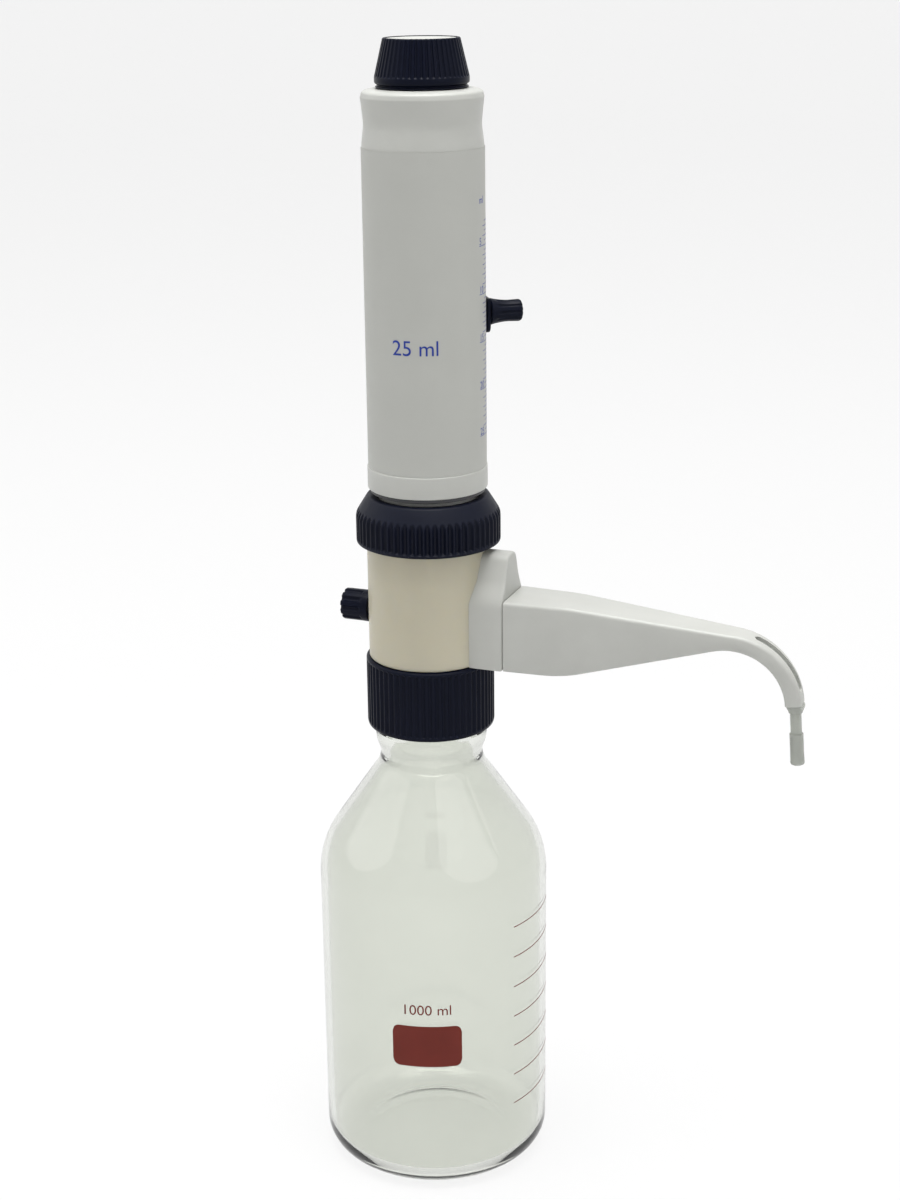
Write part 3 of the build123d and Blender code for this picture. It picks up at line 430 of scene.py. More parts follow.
def placed(name, data):
    """An object of that data, put in the scene."""
    made = bpy.data.objects.new(name, data)
    bpy.context.scene.collection.objects.link(made)
    return made


def worked_out(thing):
    """The mesh of an object with its modifiers or its letters worked out."""
    bpy.context.view_layer.update()
    return bpy.data.meshes.new_from_object(thing.evaluated_get(bpy.context.evaluated_depsgraph_get()))


def piece(name, mesh, body, slot, replaces=(), place=None):
    """Turn a mesh into a finished piece that rides on a body."""
    bmesh.ops.recalc_face_normals(mesh, faces=mesh.faces)
    if place is not None:
        mesh.transform(place)
    mark_edges(mesh)
    data = bpy.data.meshes.new(name)
    mesh.to_mesh(data)
    mesh.free()
    made = placed(name, data)
    data.materials.append(finish_for(slot))
    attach(made, body)
    if replaces:
        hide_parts(*replaces)
    return made


def carve(target, cutter_mesh):
    """Subtract a closed mesh from a piece, drop the cutter, and mark the piece's edges again."""
    fewest_faces = 8
    bmesh.ops.recalc_face_normals(cutter_mesh, faces=cutter_mesh.faces)
    data = bpy.data.meshes.new("cutter")
    cutter_mesh.to_mesh(data)
    cutter_mesh.free()
    cutter = placed("cutter", data)
    change = target.modifiers.new("carve", "BOOLEAN")
    change.operation = "DIFFERENCE"
    change.solver = "EXACT"
    change.object = cutter
    result = worked_out(target)
    target.modifiers.remove(change)
    bpy.data.objects.remove(cutter)
    if len(result.polygons) < fewest_faces:
        raise RuntimeError(f"carving {target.name} left nothing")
    old = target.data
    target.data = result
    bpy.data.meshes.remove(old)
    mesh = bmesh.new()
    mesh.from_mesh(result)
    mark_edges(mesh)
    mesh.to_mesh(result)
    mesh.free()


def groove(turn, count, share):
    """Depth share of a round groove at that turn: 0 on a rib, 1 at the groove's floor."""
    across = abs((turn * count / FULL_TURN) % 1 - 0.5) * 2
    return math.sqrt(1 - (across / share) ** 2) if across < share else 0.0


def ease(value, low, high):
    """Smooth step from 0 at low to 1 at high."""
    t = min(max((value - low) / (high - low), 0), 1)
    return t * t * (3 - 2 * t)


def rows(outline, levels):
    """Add points to an outline's long upright or leaning sides at these levels."""
    result = []
    for i, point in enumerate(outline):
        result.append(point)
        following = outline[(i + 1) % len(outline)]
        low, high = sorted((point[1], following[1]))
        between = [z for z in levels if low + SAME_LEVEL < z < high - SAME_LEVEL]
        if following[1] < point[1]:
            between.reverse()
        for z in between:
            t = (z - point[1]) / (following[1] - point[1])
            result.append((point[0] + (following[0] - point[0]) * t, z))
    return result


def arc(centre, radius, start, size, count):
    """Points along an arc, at even steps from the start through the angle of that size."""
    turns = [start + size * k / count for k in range(count + 1)]
    return [(centre[0] + radius * math.cos(t), centre[1] + radius * math.sin(t)) for t in turns]


def rounded_slot(half_w, half_h, steps=12):
    """Closed outline of an upright slot with round ends."""
    middle = half_h - half_w
    return arc((0, middle), half_w, 0, math.pi, steps) + arc((0, -middle), half_w, math.pi, math.pi, steps)


def beside_slot(points, radius):
    """Points of (across, up) from the middle of the volume setting, set upright at that radius."""
    out = Vector((math.cos(SLIDE_TURN), math.sin(SLIDE_TURN), 0))
    across = Vector((-out.y, out.x, 0))
    return [out * radius + across * u + Vector((0, 0, SETTING_LEVEL + v)) for u, v in points]


def inset_ring(points, distance):
    """Move a closed outline inwards by a distance."""
    moved = []
    for i, point in enumerate(points):
        before, after = Vector(points[i - 1]), Vector(points[(i + 1) % len(points)])
        here = Vector(point)
        a, b = (here - before).normalized(), (after - here).normalized()
        inward = Vector((a.y, -a.x)) + Vector((b.y, -b.x))
        inward.normalize()
        moved.append(tuple(here + inward * distance / max(inward.dot(Vector((b.y, -b.x))), 0.5)))
    return moved


def steps_between(low, high, count):
    """Evenly spaced levels."""
    return [low + (high - low) * k / count for k in range(count + 1)]


def lettering(mesh, words, size, radii, turn, level, align="LEFT"):
    """Wrap words round an upright cylinder, their left end or their middle at that turn and level."""
    curve = bpy.data.curves.new("words", "FONT")
    curve.body = words
    curve.size = size
    curve.align_x, curve.align_y = align, "BOTTOM_BASELINE"
    curve.extrude = (radii[1] - radii[0]) / 2
    words_object = placed("words", curve)
    flat = worked_out(words_object)
    bpy.data.objects.remove(words_object)
    bpy.data.curves.remove(curve)
    middle = (radii[0] + radii[1]) / 2
    for v in flat.vertices:
        x, y, z = v.co
        r = middle + z
        v.co = (r * math.cos(turn + x / middle), r * math.sin(turn + x / middle), level + y)
    mesh.from_mesh(flat)
    bpy.data.meshes.remove(flat)


# Pieces

class DISPENSER_OT_bottle(bpy.types.Operator):
    """Make the glass bottle with its plain panel, volume and graduation lines"""

    bl_idname = "dispenser.bottle"
    bl_label = "Bottle"

    def execute(self, context):
        radius, _, rim = outer("bottle")
        wall, heel, floor, dome = 2.8 * MM, 11.5 * MM, 4.5 * MM, 1.8 * MM
        shoulder, shoulder_r, lean = 134.8 * MM, 40.2 * MM, math.radians(34.4)
        neck_r, neck_curve, mouth_r, mouth_curve = 22.4 * MM, 12.7 * MM, 17.0 * MM, 8.0 * MM
        bead_r, finish_r, lip = 24.2 * MM, 21.2 * MM, 1.3 * MM
        mouth_edge = lip / 2

        def shoulder_line(wall_in, throat_r, curve):
            """The shoulder from its foot up to the throat, and the level where the throat starts."""
            centre = (radius - shoulder_r, shoulder)
            r = shoulder_r - wall_in
            start_r = centre[0] + r * math.cos(lean)
            run = (start_r - throat_r - curve * (1 - math.cos(lean))) / math.sin(lean)
            level = centre[1] + r * math.sin(lean) + run * math.cos(lean) + curve * math.sin(lean)
            line = arc(centre, r, 0, lean, 14)
            end = arc((throat_r + curve, level), curve, math.pi + lean, -lean, 8)
            middle = [tuple(Vector(line[-1]).lerp(Vector(end[0]), k / 5)) for k in range(1, 5)]
            return line + middle + end, level

        outside, neck = shoulder_line(0, neck_r, neck_curve)
        inside, _ = shoulder_line(wall, mouth_r, mouth_curve)
        bead_low, bead_high, finish_low = neck + 7.5 * MM, neck + 10.2 * MM, neck + 12.1 * MM
        wall_levels = steps_between(heel + 15 * MM, shoulder - 15 * MM, 5)
        outline = [(0, floor + dome), (0, dome)]
        outline += [(r * MM, z * MM) for r, z in ((16, 1.5), (31, 0.5), (33, 0), (36, 0))]
        outline += arc((radius - heel, heel), heel, -math.pi / 2, math.pi / 2, 14)
        outline += [(radius, level) for level in wall_levels]
        outline += outside
        for k in range(1, 9):
            outline.append((neck_r + (bead_r - neck_r) * ease(k, 0, 8), neck + (bead_low - neck) * k / 8))
        outline += [(bead_r, bead_high), (bead_r - 0.25 * MM, bead_high + 0.5 * MM), (finish_r, finish_low)]
        outline += [(finish_r, level) for level in steps_between(finish_low + 1.1 * MM, rim - 4 * MM, 40)]
        outline += [(finish_r, rim - lip), (finish_r - 0.4 * MM, rim - 0.4 * MM), (finish_r - lip, rim)]
        outline += [(mouth_r + mouth_edge, rim), (mouth_r, rim - mouth_edge)]
        outline += list(reversed(inside))
        outline += [(radius - wall, level) for level in reversed(wall_levels)]
        heel_in = heel - wall
        outline += arc((radius - heel, floor + heel_in), heel_in, 0, -math.pi / 2, 12)
        outline += [(20 * MM, floor + dome / 2)]

        def thread(turn, r, height):
            """Raise a thread round the finish that fades in and out at its ends."""
            start, end, pitch, rise, run_out = neck + 14 * MM, rim - 4 * MM, 4 * MM, 1.0 * MM, 3 * MM
            if r < finish_r - 0.1 * MM or not start < height < end:
                return r
            phase = ((height - start) / pitch - turn / FULL_TURN) % 1
            fade = ease(height, start, start + run_out) * ease(end - height, 0, run_out)
            return r + rise * fade * max(0, math.cos((phase - 0.5) * FULL_TURN)) ** 1.5

        piece("bottle_glass", turned(outline, 224, thread), "bottle", "clear_glass", ["bottle"])
        lift = 0.02 * MM
        raised = (radius + lift, radius + lift + sizes().mark_height)

        panel = bmesh.new()
        half_w, half_h, corner = 15.3 * MM, 9.9 * MM, 3.2 * MM
        middle, level, steps = math.radians(-72.5), 72.5 * MM, 48

        def panel_level(share):
            """Half height of the rounded panel at that share of its width."""
            inset = max(corner - min(share, 1 - share) * 2 * half_w, 0)
            return half_h - corner + math.sqrt(corner**2 - inset**2)

        reach = half_w / radius
        halves = [panel_level(k / steps) for k in range(steps + 1)]
        spans = [(level - half, level + half) for half in halves]
        curved_block(panel, raised, (middle - reach, middle + reach), spans)
        piece("bottle_panel", panel, "bottle", "red_print")

        words = bmesh.new()
        word_size, word_level = 6.8 * MM, 88 * MM
        thicker = (raised[0], raised[1] + 0.04 * MM)
        lettering(words, "1000 ml", word_size, thicker, middle, word_level, "CENTER")
        piece("bottle_volume", words, "bottle", "red_print")

        lines = bmesh.new()
        lowest, apart, line_w = 35.5, 14.5, 0.45 * MM
        turns = (math.radians(-25), math.radians(15))
        for k in range(7):
            level = (lowest + apart * k) * MM
            curved_block(lines, raised, turns, [(level, level + line_w)] * 17)
        piece("bottle_graduation", lines, "bottle", "red_print")
        return {"FINISHED"}


class DISPENSER_OT_bottle_nut(bpy.types.Operator):
    """Make the ribbed nut that holds the dispenser on the bottle"""

    bl_idname = "dispenser.bottle_nut"
    bl_label = "Bottle nut"

    def execute(self, context):
        s = sizes()
        radius, low, high = outer("bottle_nut")
        bore, lip, lip_low = 23.0 * MM, 18.9 * MM, high - 5.2 * MM
        outline = soften(
            [
                (bore, low),
                (radius - 0.3 * MM, low, 1.1 * MM),
                (radius, low + 1.6 * MM, 0.3 * MM),
                (radius, high, 1.0 * MM),
                (lip, high),
                (lip, lip_low),
                (bore, lip_low),
            ],
            s.edge,
        )
        start, end = low + 1.9 * MM, high - 1.5 * MM
        levels = steps_between(low + 1.0 * MM, low + 3.4 * MM, 8)
        levels += steps_between(high - 3 * MM, high - 0.9 * MM, 8)

        def cut(turn, r, height):
            """Grooves between the ribs, which run out at both ends."""
            if r < bore + 1 * MM:
                return r
            from_start = ease(height, start - 0.5 * MM, start + 0.5 * MM)
            to_end = 1 - ease(height, end - 0.5 * MM, end + 0.4 * MM)
            return r - s.nut_groove * from_start * to_end * groove(turn, s.nut_ribs, 0.62)

        nut = turned(rows(outline, levels), s.nut_ribs * 10, cut)
        piece("bottle_nut_ribbed", nut, "bottle_nut", "navy_plastic", ["bottle_nut"])
        return {"FINISHED"}


class DISPENSER_OT_union_nut(bpy.types.Operator):
    """Make the large knurled nut whose grooves run out into its cone"""

    bl_idname = "dispenser.union_nut"
    bl_label = "Union nut"

    def execute(self, context):
        s = sizes()
        radius, low, high = outer("union_nut")
        bore, top_bore, top_r, cone = 26.65 * MM, 22.2 * MM, 25.6 * MM, high - 8.0 * MM
        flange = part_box("guide_tube")[0].z + 3.0 * MM
        outline = soften(
            [
                (bore, low),
                (radius, low, 0.8 * MM),
                (radius, cone, 1.6 * MM),
                (top_r, high, 1.0 * MM),
                (top_bore, high),
                (top_bore, flange),
                (bore, flange),
            ],
            s.edge,
        )
        start, knurl = low + 1.5 * MM, 1.4 * MM
        levels = steps_between(low + 0.9 * MM, low + 2.6 * MM, 7)
        levels += steps_between(cone - 1.6 * MM, high - 4 * MM, 16)

        def cut(turn, r, height):
            """Grooves of one depth, which the cone leaves behind as it narrows."""
            if r < bore + 1.5 * MM:
                return r
            depth = knurl * groove(turn, s.nut_ribs, 0.7) * ease(height, start - 0.4 * MM, start + 0.6 * MM)
            return min(r, radius - depth) if depth > 0 else r

        nut = turned(rows(outline, levels), s.nut_ribs * 10, cut)
        piece("union_nut_knurled", nut, "union_nut", "navy_satin", ["union_nut"])
        return {"FINISHED"}


class DISPENSER_OT_valve_block(bpy.types.Operator):
    """Make the cream valve block between the two nuts"""

    bl_idname = "dispenser.valve_block"
    bl_label = "Valve block"

    def execute(self, context):
        radius, low, high = outer("valve_block")
        flange_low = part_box("bottle_gasket")[1].z
        flange_high = flange_low + 4.0 * MM
        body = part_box("base_cover")[0].z
        plug, neck, flange, bore, socket = 16.2 * MM, 18.6 * MM, 21.6 * MM, 6.05 * MM, 11.48 * MM
        socket_floor = high - 35.8 * MM
        outline = soften(
            [
                (bore, low),
                (plug, low, 0.7 * MM),
                (plug, flange_low),
                (flange, flange_low),
                (flange, flange_high),
                (neck, flange_high),
                (neck, body),
                (radius, body, 0.7 * MM),
                (radius, high),
                (socket, high),
                (socket, socket_floor),
                (bore, socket_floor),
            ],
            0.3 * MM,
        )
        outline = rows(outline, steps_between(body + 2 * MM, high - 2 * MM, 10))
        piece("valve_block_cream", turned(outline, 224), "head", "cream_plastic", ["valve_block"])
        return {"FINISHED"}


ARM_BEND_R = 30.2 * MM  # outer radius of the casing's bend
LEAD_POINTS, TIP_POINTS = 2, 5  # points of the tube's route before the casing and below its end


def arm_places():
    """Centre of the arm's bend, from the CAD model's casing and outlet, as (x, z)."""
    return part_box("arm_casing")[1].x - ARM_BEND_R, AXIS_LEVEL - 19.7 * MM


def tube_route():
    """Points along the middle of the discharge tube, in the plane of the arm."""
    s = sizes()
    bend_x, bend_z = arm_places()
    start_x, lift_x, lift_r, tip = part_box("discharge_tube")[0].x, 36.5 * MM, 40 * MM, 25 * MM
    run_x, run_z = bend_x - lift_x, bend_z - AXIS_LEVEL - lift_r
    rise = math.atan2(run_z, run_x) + math.asin((lift_r + s.bend_radius) / math.hypot(run_x, run_z))
    points = [(start_x, AXIS_LEVEL), ((start_x + lift_x) / 2, AXIS_LEVEL)]
    for k in range(7):
        t = rise * k / 6
        points.append((lift_x + lift_r * math.sin(t), AXIS_LEVEL + lift_r * (1 - math.cos(t))))
    upright = math.pi / 2
    bend = arc((bend_x, bend_z), s.bend_radius, upright + rise, s.tip_lean - upright - rise, 40)
    lift_end = Vector(points[-1])
    points += [tuple(lift_end.lerp(Vector(bend[0]), k / 12)) for k in range(1, 12)]
    points += bend
    end_x, end_z = bend[-1]
    for k in range(1, TIP_POINTS + 1):
        reach = tip * k / TIP_POINTS
        points.append((end_x + reach * math.sin(s.tip_lean), end_z - reach * math.cos(s.tip_lean)))
    return points


def hose(route, outer_r, inner_r=0, sides=40):
    """A round tube along a plane route; without an inner radius, a solid run."""
    circle = [(math.cos(FULL_TURN * k / sides), math.sin(FULL_TURN * k / sides)) for k in range(sides)]

    def skin(radius):
        rings = []
        for i, point in enumerate(route):
            before, after = Vector(route[max(i - 1, 0)]), Vector(route[min(i + 1, len(route) - 1)])
            ahead = (after - before).normalized()
            across = Vector((-ahead.y, 0, ahead.x))
            here = Vector((point[0], 0, point[1]))
            rings.append([here + across * (radius * c) + Vector((0, radius * q, 0)) for c, q in circle])
        return rings

    if not inner_r:
        return skinned(skin(outer_r))
    mesh = bmesh.new()
    outside = [[mesh.verts.new(p) for p in ring] for ring in skin(outer_r)]
    inside = [[mesh.verts.new(p) for p in ring] for ring in skin(inner_r)]
    for rings in (outside, inside, (outside[0], inside[0]), (outside[-1], inside[-1])):
        bridge(mesh, rings)
    return mesh


class DISPENSER_OT_arm(bpy.types.Operator):
    """Make the arm casing and the humped cover plate behind it"""

    bl_idname = "dispenser.arm"
    bl_label = "Arm"

    def execute(self, context):
        self.casing()
        self.cover()
        return {"FINISHED"}

    def casing(self):
        """The tapered arm: its two edges follow different arcs, and the tube shows through its slot."""
        low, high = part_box("arm_casing")
        bend_x, bend_z = arm_places()
        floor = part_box("base_cover")[0].z
        under_r, belly_r, back_r = 23.6 * MM, 60 * MM, 120 * MM
        rise, fall = math.radians(15.5), math.radians(4.75)
        lean = sizes().tip_lean
        half_w, end_w, bow, crown = high.y, 4.2 * MM, 0.55 * MM, 0.12 * MM
        lower_edge, upper_edge = 0.8 * MM, 2.0 * MM

        def width(x):
            """Half width: a taper with a slight bow."""
            t = min((x - low.x) / (high.x - low.x), 1)
            return half_w + (end_w - half_w) * t + bow * 4 * t * (1 - t)

        under_end = (bend_x - under_r * math.sin(rise), bend_z + under_r * math.cos(rise))
        over_end = (bend_x + ARM_BEND_R * math.sin(fall), bend_z + ARM_BEND_R * math.cos(fall))
        belly_x = under_end[0] - (under_end[1] - floor) / math.tan(rise) - belly_r * math.tan(rise / 2)
        back_x = over_end[0] - (high.z - over_end[1]) / math.tan(fall) - back_r * math.tan(fall / 2)

        def underside(x):
            """Level floor, then the belly's arc, then the straight rise to the bend."""
            if x <= belly_x:
                return floor
            if x <= belly_x + belly_r * math.sin(rise):
                return floor + belly_r - math.sqrt(belly_r**2 - (x - belly_x) ** 2)
            return under_end[1] - (under_end[0] - x) * math.tan(rise)

        def topside(x):
            """Level top, then the back's arc, then the straight fall to the bend."""
            if x <= back_x:
                return high.z
            if x <= back_x + back_r * math.sin(fall):
                return high.z - back_r + math.sqrt(back_r**2 - (x - back_x) ** 2)
            return over_end[1] + (over_end[0] - x) * math.tan(fall)

        stations = []
        for k in range(49):
            t = k / 48
            below = low.x + (under_end[0] - low.x) * t
            above = low.x + (over_end[0] - low.x) * t
            stations.append(((below, underside(below)), (above, topside(above))))
        for k in range(1, 45):
            t = k / 44
            below = math.pi / 2 + rise + (lean - math.pi / 2 - rise) * t
            above = math.pi / 2 - fall + (lean - math.pi / 2 + fall) * t
            stations.append(
                (
                    (bend_x + under_r * math.cos(below), bend_z + under_r * math.sin(below)),
                    (bend_x + ARM_BEND_R * math.cos(above), bend_z + ARM_BEND_R * math.sin(above)),
                )
            )
        rings = []
        for below, above in stations:
            foot, top = Vector((below[0], 0, below[1])), Vector((above[0], 0, above[1]))
            tall = (top - foot).length
            up = (top - foot).normalized()
            low_w, top_w = width(below[0]), width(above[0])
            right = [
                (OFF_AXIS + low_w, 0, lower_edge),
                (OFF_AXIS + low_w + crown, tall * 0.5, tall * 0.2),
                (OFF_AXIS + top_w, tall, upper_edge),
            ]
            left = [(2 * OFF_AXIS - u, v, corner) for u, v, corner in reversed(right)]
            section = soften(right + left, 0, 5)
            rings.append([foot + up * v + Vector((0, u - OFF_AXIS, 0)) for u, v in section])
        arm = piece("arm_casing_shell", skinned(rings), "head", "grey_plastic", ["arm_casing"])

        channel = tube_route()[LEAD_POINTS:-TIP_POINTS]
        end_x, end_z = channel[-1]
        channel.insert(0, (low.x - PAST, channel[0][1]))
        channel.append((end_x + PAST * math.sin(lean), end_z - PAST * math.cos(lean)))
        carve(arm, hose(channel, 2.5 * MM, sides=32))

        start, end, half, narrowest = math.radians(14), math.radians(72), 2.0 * MM, 0.2 * MM
        middle = Vector((bend_x, 0, bend_z))
        rings = []
        for k in range(33):
            t = k / 32
            turn = start + (end - start) * t
            short = min(t, 1 - t) * (end - start) * ARM_BEND_R
            side = Vector((0, math.sqrt(max(half**2 - max(half - short, 0) ** 2, narrowest**2)), 0))
            out = Vector((math.cos(turn), 0, math.sin(turn)))
            near, far = middle + out * sizes().bend_radius, middle + out * (ARM_BEND_R + PAST)
            rings.append([near - side, near + side, far + side, far - side])
        carve(arm, skinned(rings))

    def cover(self):
        """The plate between block and arm, with a hump on top and flanks that swing out to its sides."""
        low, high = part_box("base_cover")
        top, half_w, side_h, outlet = high.z, high.y, 5 * MM, 5.05 * MM
        crown, crown_r = 4.6, 3.2
        hump_foot, plate_edge = (8.0, -10), (13.0, -22)
        foot_y, foot_z = hump_foot
        corners = ((-foot_y, foot_z, 0), (-crown, 0, crown_r), (crown, 0, crown_r), (foot_y, foot_z, 0))
        hump = soften([(OFF_AXIS + y * MM, z * MM, r * MM) for y, z, r in corners], 0, 6)
        start, end = Vector(hump_foot), Vector(plate_edge)
        leaving, arriving = Vector((3.4, -10)) * 1.25, Vector((0, -1)) * 13
        flank = []
        for k in range(1, 17):
            t = k / 16
            spot = start * (2 * t**3 - 3 * t**2 + 1) + leaving * (t**3 - 2 * t**2 + t)
            spot += end * (3 * t**2 - 2 * t**3)
            spot += arriving * (t**3 - t**2)
            flank.append((spot.x / plate_edge[0] * half_w, spot.y * MM))
        outline = [(u - OFF_AXIS, top + v) for u, v in hump] + [(y, top + z) for y, z in flank]
        outline += [(half_w, low.z + side_h), (half_w, low.z), (-half_w, low.z), (-half_w, low.z + side_h)]
        outline += [(-y, top + z) for y, z in reversed(flank)]
        # How far behind the front face, and how far in, each ring of its rounded edge lies
        rounding = ((1.2, 0), (0.75, 0.05), (0.35, 0.25), (0.1, 0.6), (0, 1.2))
        places = [(low.x, 0)] + [(high.x - behind * MM, inset * MM) for behind, inset in rounding]
        rings = [[Vector((x, y, z)) for y, z in inset_ring(outline, inset)] for x, inset in places]
        cover = piece("base_cover_plate", skinned(rings), "head", "grey_plastic", ["base_cover"])
        carve(cover, rod(outer("valve_block")[0] + FIT_GAP, low.z - PAST, top + PAST, 224))
        hole = rod(outlet, 0, 60 * MM, 64)
        hole.transform(Matrix.Translation((0, 0, AXIS_LEVEL)) @ Matrix.Rotation(math.pi / 2, 4, "Y"))
        carve(cover, hole)


class DISPENSER_OT_discharge(bpy.types.Operator):
    """Make the discharge tube, the funnel at the arm's end and the tip cap"""

    bl_idname = "dispenser.discharge"
    bl_label = "Tube and tip"

    def execute(self, context):
        s = sizes()
        tube_r = 2.35 * MM
        tube = hose(tube_route(), tube_r, tube_r - s.tube_wall)
        piece("discharge_tube_clear", tube, "head", "clear_tube", ["discharge_tube"])
        bend_x, bend_z = arm_places()
        across, up = s.bend_radius * math.cos(s.tip_lean), s.bend_radius * math.sin(s.tip_lean)
        place = Matrix.Translation((bend_x + across, 0, bend_z + up))
        place = place @ Matrix.Rotation(-s.tip_lean, 4, "Y") @ Matrix.Rotation(math.pi, 4, "X")
        funnel = soften(
            [
                (2.4 * MM, 0.05 * MM),
                (4.0 * MM, 0.05 * MM),
                (4.0 * MM, 1.0 * MM),
                (2.75 * MM, 4.0 * MM),
                (2.4 * MM, 4.0 * MM),
            ],
            0.3 * MM,
        )
        piece("nozzle_funnel", turned(funnel, 64), "head", "clear_tube", ["nozzle_cone"], place)
        cap = soften(
            [
                (2.43 * MM, 13.0 * MM),
                (2.85 * MM, 13.0 * MM, 0.15 * MM),
                (2.85 * MM, 21.3 * MM, 1.5 * MM),
                (2.95 * MM, 26.3 * MM, 0.9 * MM),
                (0, 26.3 * MM),
                (0, 25.3 * MM),
                (2.43 * MM, 25.3 * MM, 0.3 * MM),
            ],
            0.2 * MM,
        )
        piece("tip_cap_clear", turned(cap, 64), "tip_cap", "clear_tube", ["tip_cap"], place)
        return {"FINISHED"}


class DISPENSER_OT_valve_knob(bpy.types.Operator):
    """Make the lobed knob of the recirculation valve"""

    bl_idname = "dispenser.valve_knob"
    bl_label = "Valve knob"

    def execute(self, context):
        s = sizes()
        low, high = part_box("recirculation_knob")
        radius, length = (high.z - low.z) / 2, high.x - low.x
        hole, depth = 4.05 * MM, 7.35 * MM
        outline = soften(
            [
                (hole, 0),
                (radius, 0, 0.5 * MM),
                (radius, length, 1.3 * MM),
                (0, length),
                (0, depth),
                (hole, depth),
            ],
            s.edge,
        )
        outline = rows(outline, steps_between(2.4 * MM, 5.0 * MM, 8))

        def cut(turn, r, height):
            if r < hole + 0.5 * MM:
                return r
            depth = 0.85 * MM * ease(r, hole, radius - 1.5 * MM)
            return r - depth * ease(height, 2.9 * MM, 4.4 * MM) * groove(turn, s.knob_lobes, 0.52)

        place = Matrix.Translation((high.x, 0, SPINDLE_LEVEL)) @ Matrix.Rotation(-math.pi / 2, 4, "Y")
        knob = turned(outline, s.knob_lobes * 24, cut)
        piece("valve_knob_lobed", knob, "recirculation_valve", "navy_plastic", ["recirculation_knob"], place)
        return {"FINISHED"}


class DISPENSER_OT_sleeve(bpy.types.Operator):
    """Make the sleeve with its slot, foot ring, sliding ring and printed film"""

    bl_idname = "dispenser.sleeve"
    bl_label = "Sleeve"

    def execute(self, context):
        film_r, film_low, film_high = outer("scale_film")
        low, boss_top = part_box("sleeve")[0].z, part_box("sleeve")[1].z
        top, waist = boss_top - 5.5 * MM, low + 148.1 * MM
        ceiling = top - 4.5 * MM
        r, waist_r, bore, spigot = 24.75 * MM, 23.75 * MM, 22.8 * MM, 23.8 * MM
        boss_r, boss_bore, rod_bore = 14.0 * MM, 12.0 * MM, 4.05 * MM
        shell = soften(
            [
                (bore, low),
                (spigot, low),
                (spigot, film_low, 0.05 * MM),
                (r, film_low, 0.1 * MM),
                (r, film_high, 3.5 * MM),
                (waist_r, waist, 4.0 * MM),
                (waist_r, waist + 2 * MM, 4.0 * MM),
                (r, top - 3.3 * MM, 0.35 * MM),
                (24.2 * MM, top - 1.1 * MM, 0.9 * MM),
                (21.5 * MM, top, 1.4 * MM),
                (boss_r, top, 0.4 * MM),
                (boss_r, boss_top, 0.4 * MM),
                (boss_bore, boss_top),
                (boss_bore, top),
                (rod_bore, top),
                (rod_bore, ceiling),
                (bore, ceiling),
            ],
            0.3 * MM,
            6,
        )
        sleeve = piece("sleeve_shell", turned(shell, 256), "sleeve", "grey_plastic", ["sleeve"])
        film_in = r + 0.02 * MM
        film = [(film_in, film_low), (film_r, film_low), (film_r, film_high), (film_in, film_high)]
        label = piece("scale_film_wrap", turned(film, 256), "sleeve", "scale_film", ["scale_film"])
        for target in (sleeve, label):
            carve(target, self.slot(bore, film_r))
        ring_r, ring_low, ring_high = outer("foot_ring")
        band = soften(
            [
                (spigot + FIT_GAP, ring_low),
                (ring_r, ring_low, 0.6 * MM),
                (ring_r, ring_high, 0.8 * MM),
                (spigot + FIT_GAP, ring_high),
            ],
            0.1 * MM,
            6,
        )
        piece("foot_ring_band", turned(band, 256), "sleeve", "grey_plastic", ["foot_ring"])
        bush_r, bush_low, bush_high = outer("guide_bush")
        bush_bore, collar = 20.88 * MM, bush_low + 1.7 * MM
        bush = soften(
            [
                (bush_bore, bush_low),
                (bush_r, bush_low, 0.4 * MM),
                (bush_r, collar),
                (bore - FIT_GAP, collar),
                (bore - FIT_GAP, bush_high),
                (bush_bore, bush_high),
            ],
            0.15 * MM,
        )
        piece("guide_bush_ring", turned(bush, 192), "sleeve", "dark_ring", ["guide_bush"])
        return {"FINISHED"}

    def slot(self, bore, film_r):
        """Closed cutter for the slot that the volume slide runs in."""
        half_w, half_h = 1.6 * MM, 53.8 * MM
        ring = rounded_slot(half_w, half_h)
        return skinned([beside_slot(ring, bore - 3 * PAST), beside_slot(ring, film_r + 2 * PAST)])


